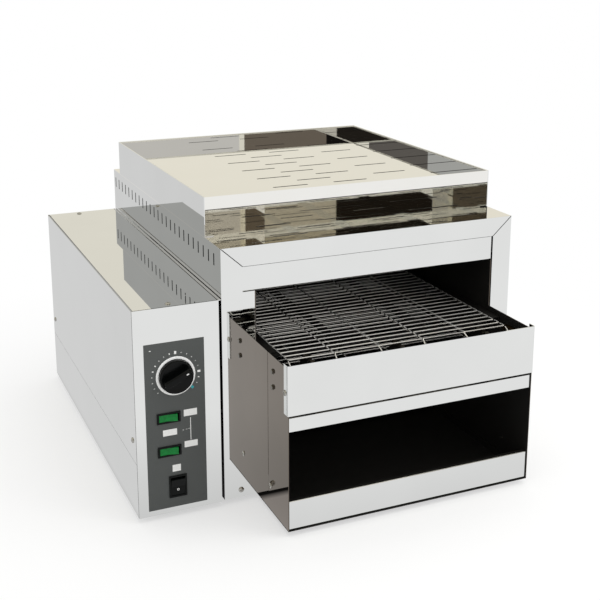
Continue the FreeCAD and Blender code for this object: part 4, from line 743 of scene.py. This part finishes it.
def makeFeet():
    # one turned foot at each corner of the solid's four
    low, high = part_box("feet")
    inset, tall = feet["radius"] * mm, (high[2] - low[2]) / mm
    profile = [*feet["tread"], *((radius, tall - down) for radius, down in feet["neck"])]
    makePiece(feet, [lathe(profile, (x, y, low[2]), (0, 0, 1))
                     for x in (low[0] + inset, high[0] - inset)
                     for y in (low[1] + inset, high[1] - inset)])


def makeHem():
    # round bead along a rounded rectangle, inside the walls' outline by its own radius
    low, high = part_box("warming_tray_walls")
    size = (np.array(high) - np.array(low)) / 2 / mm
    centre = middleOf("warming_tray_walls")
    radius = hem["radius"]
    loop = roundedLoop(size[0] - radius, size[1] - radius, hem["corner"])
    path = np.column_stack((centre[:2] + loop * mm,
                            np.full(len(loop), high[2] - radius * mm)))
    makePiece(hem, [tube(path, (0, 0, 1), radius * mm, hem["sides"], True)])


makeFeet()
makeHem()
print("feet and hem made")


# Stage, in metres. The floor and the cards give polished sheet the studio that it reflects

studio = {"floor": "#f4f4f2", "half": 6.0, "worldLight": 0.72, "worldSeen": "#e7e3d6"}
# to the camera the floor fades into white, from and to these distances
floorFade = {"From Min": 0.35, "From Max": 0.9, "To Min": 0.55, "To Max": 1.0}
# polished sheet sees the floor bright in front of the machine and greyer beside it, as painted
# shade
floorPaintedShade = {"From Min": -0.55, "From Max": -0.25, "To Min": 0.90, "To Max": 0.70}
# and dark where the machine stands, as a painted shadow: half sizes from its middle, which lies
# at shadowMiddleY
shadowUnderAcross = {"From Min": 0.26, "From Max": 0.30, "To Min": 0.02, "To Max": 1.0}
shadowUnderAlong = {"From Min": 0.28, "From Max": 0.295, "To Min": 0.02, "To Max": 1.0}
shadowMiddleY = 0.055

# upright cards: two floor points, lowest and highest edge, and colour
cards = {
    "greyCard": ((-1.6, 1.1), (-0.34, 1.1), 0.34, 1.3, "#afafad"),
    "rearCard": ((-0.34, 1.1), (-0.15, 1.1), 0.5, 1.3, "#615d59"),
    "paleCameraCard": ((-0.72, -1.9), (0.2, -1.9), 0.5, 1.9, "#cec8bd"),
    "darkCameraCard": ((-1.7, -1.9), (-0.72, -1.9), 0.5, 1.9, "#27231f"),
    "paleFrontCard": ((0.2, -1.7), (0.76, -1.6), 0.5, 1.7, "#cecbc7"),
    "brownCard": ((0.78, -1.6), (1.12, -1.6), 0.5, 1.7, "#6c6359"),
    "darkCard": ((1.12, -1.6), (2.4, -0.9), 0.5, 1.9, "#161412"),
}

# lamps: place, the point each looks at, size and watts
lamps = {
    "topSoftbox": ((0.3, -0.2, 2.2), (0, 0, 0.2), (2.4, 2.4), 26),
    "rightSoftbox": ((1.9, -1.6, 1.3), (0, 0, 0.25), (1.6, 1.6), 22),
}

# light that bounces between polished sheets takes more turns than usual
bounces = {"all": 20, "glossy": 16}


def addPlane(name, corners, material):
    mesh = bpy.data.meshes.new(name)
    mesh.from_pydata(corners, [], [(0, 1, 2, 3)])
    mesh.materials.append(material)
    plane = bpy.data.objects.new(name, mesh)
    bpy.context.scene.collection.objects.link(plane)
    return plane


def addCard(name, first, last, low, high, colour):
    # upright card from one floor point to another, that only polished surfaces see
    material, tree, place = newMaterial(name)
    light = addNode(tree, "ShaderNodeEmission", {"Color": toLinear(colour), "Strength": 1.0})
    addNode(tree, "ShaderNodeOutputMaterial", None, {"Surface": light.outputs[0]})
    card = addPlane(name, [(*first, low), (*last, low), (*last, high), (*first, high)],
                    material)
    card.visible_camera = False
    card.visible_diffuse = False
    card.visible_shadow = False


def makeFloor():
    material, tree, place = newMaterial("white studio floor")
    path = addNode(tree, "ShaderNodeLightPath")
    diffuse = addNode(tree, "ShaderNodeBsdfDiffuse", {"Color": toLinear(studio["floor"])})
    # what the camera sees
    away = addNode(tree, "ShaderNodeVectorMath", {"operation": "LENGTH"}, {0: place})
    fade = addNode(tree, "ShaderNodeMapRange", floorFade, {"Value": away.outputs["Value"]})
    white = addNode(tree, "ShaderNodeEmission", {"Color": toLinear("#ffffff"), "Strength": 1.0})
    shown = addNode(tree, "ShaderNodeMixShader", None,
                    {0: fade.outputs[0], 1: diffuse.outputs[0], 2: white.outputs[0]})
    # what polished sheet sees: the floor with painted shade beside the machine and a painted
    # shadow under it
    parts = addNode(tree, "ShaderNodeSeparateXYZ", None, {0: place})
    grey = addNode(tree, "ShaderNodeMapRange", floorPaintedShade, {"Value": parts.outputs[1]})
    across = addNode(tree, "ShaderNodeMath", {"operation": "ABSOLUTE"}, {0: parts.outputs[0]})
    shifted = addNode(tree, "ShaderNodeMath", {"operation": "SUBTRACT", 1: shadowMiddleY},
                      {0: parts.outputs[1]})
    along = addNode(tree, "ShaderNodeMath", {"operation": "ABSOLUTE"}, {0: shifted.outputs[0]})
    outX = addNode(tree, "ShaderNodeMapRange", shadowUnderAcross, {"Value": across.outputs[0]})
    outY = addNode(tree, "ShaderNodeMapRange", shadowUnderAlong, {"Value": along.outputs[0]})
    outsideShadow = addNode(tree, "ShaderNodeMath", {"operation": "MAXIMUM"},
                     {0: outX.outputs[0], 1: outY.outputs[0]})
    shaded = addNode(tree, "ShaderNodeMath", {"operation": "MULTIPLY"},
                     {0: grey.outputs[0], 1: outsideShadow.outputs[0]})
    mirrored = addNode(tree, "ShaderNodeEmission", None, {"Color": shaded.outputs[0]})
    mixed = addNode(tree, "ShaderNodeMixShader", None,
                    {0: path.outputs["Is Glossy Ray"], 1: diffuse.outputs[0],
                     2: mirrored.outputs[0]})
    both = addNode(tree, "ShaderNodeMixShader", None,
                   {0: path.outputs["Is Camera Ray"], 1: mixed.outputs[0],
                    2: shown.outputs[0]})
    addNode(tree, "ShaderNodeOutputMaterial", None, {"Surface": both.outputs[0]})
    half = studio["half"]
    addPlane("studioFloor", [(-half, -half, 0), (half, -half, 0), (half, half, 0),
                             (-half, half, 0)], material)


def makeWorld():
    # soft light on the object, a warm room for polished sheet, and white for the camera
    world = bpy.data.worlds.new("studio")
    bpy.context.scene.world = world
    world.use_nodes = True
    tree = world.node_tree
    tree.nodes.clear()
    path = addNode(tree, "ShaderNodeLightPath")
    lit, seen, white = (
        addNode(tree, "ShaderNodeBackground", {"Color": toLinear(colour), "Strength": strength})
        for colour, strength in (("#ffffff", studio["worldLight"]), (studio["worldSeen"], 1.0),
                                 ("#ffffff", 1.0)))
    sheet = addNode(tree, "ShaderNodeMixShader", None,
                    {0: path.outputs["Is Glossy Ray"], 1: lit.outputs[0], 2: seen.outputs[0]})
    both = addNode(tree, "ShaderNodeMixShader", None,
                   {0: path.outputs["Is Camera Ray"], 1: sheet.outputs[0],
                    2: white.outputs[0]})
    addNode(tree, "ShaderNodeOutputWorld", None, {"Surface": both.outputs[0]})


def addLamp(name, place, target, size, power):
    data = bpy.data.lights.new(name, "AREA")
    data.shape = "RECTANGLE"
    data.size, data.size_y = size
    data.energy = power
    lamp = bpy.data.objects.new(name, data)
    lamp.location = place
    lamp.rotation_mode = "QUATERNION"
    lamp.rotation_quaternion = (Vector(target) - Vector(place)).to_track_quat("-Z", "Y")
    lamp.visible_glossy = False
    bpy.context.scene.collection.objects.link(lamp)


# Camera measured from the photograph's edges, for a frame 600 pixels wide. Place in metres
cameraFit = {"place": (-0.62349, -1.54844, 0.77084), "yaw": 23.477, "pitch": 13.745,
             "focalPixels": 1080.8, "framePixels": 600, "shiftY": -0.15}


def makeCamera():
    data = bpy.data.cameras.new("camera")
    data.sensor_width = 36.0
    data.lens = cameraFit["focalPixels"] / cameraFit["framePixels"] * data.sensor_width
    data.shift_y = cameraFit["shiftY"]
    camera = bpy.data.objects.new("camera", data)
    camera.location = cameraFit["place"]
    camera.rotation_euler = (math.radians(90 - cameraFit["pitch"]), 0,
                             -math.radians(cameraFit["yaw"]))
    bpy.context.scene.collection.objects.link(camera)
    bpy.context.scene.camera = camera


makeFloor()
makeWorld()
for name, settings in cards.items():
    addCard(name, *settings)
for name, settings in lamps.items():
    addLamp(name, *settings)
bpy.context.scene.cycles.max_bounces = bounces["all"]
bpy.context.scene.cycles.glossy_bounces = bounces["glossy"]
makeCamera()
bpy.context.scene.view_settings.view_transform = "Standard"
print("stage set")
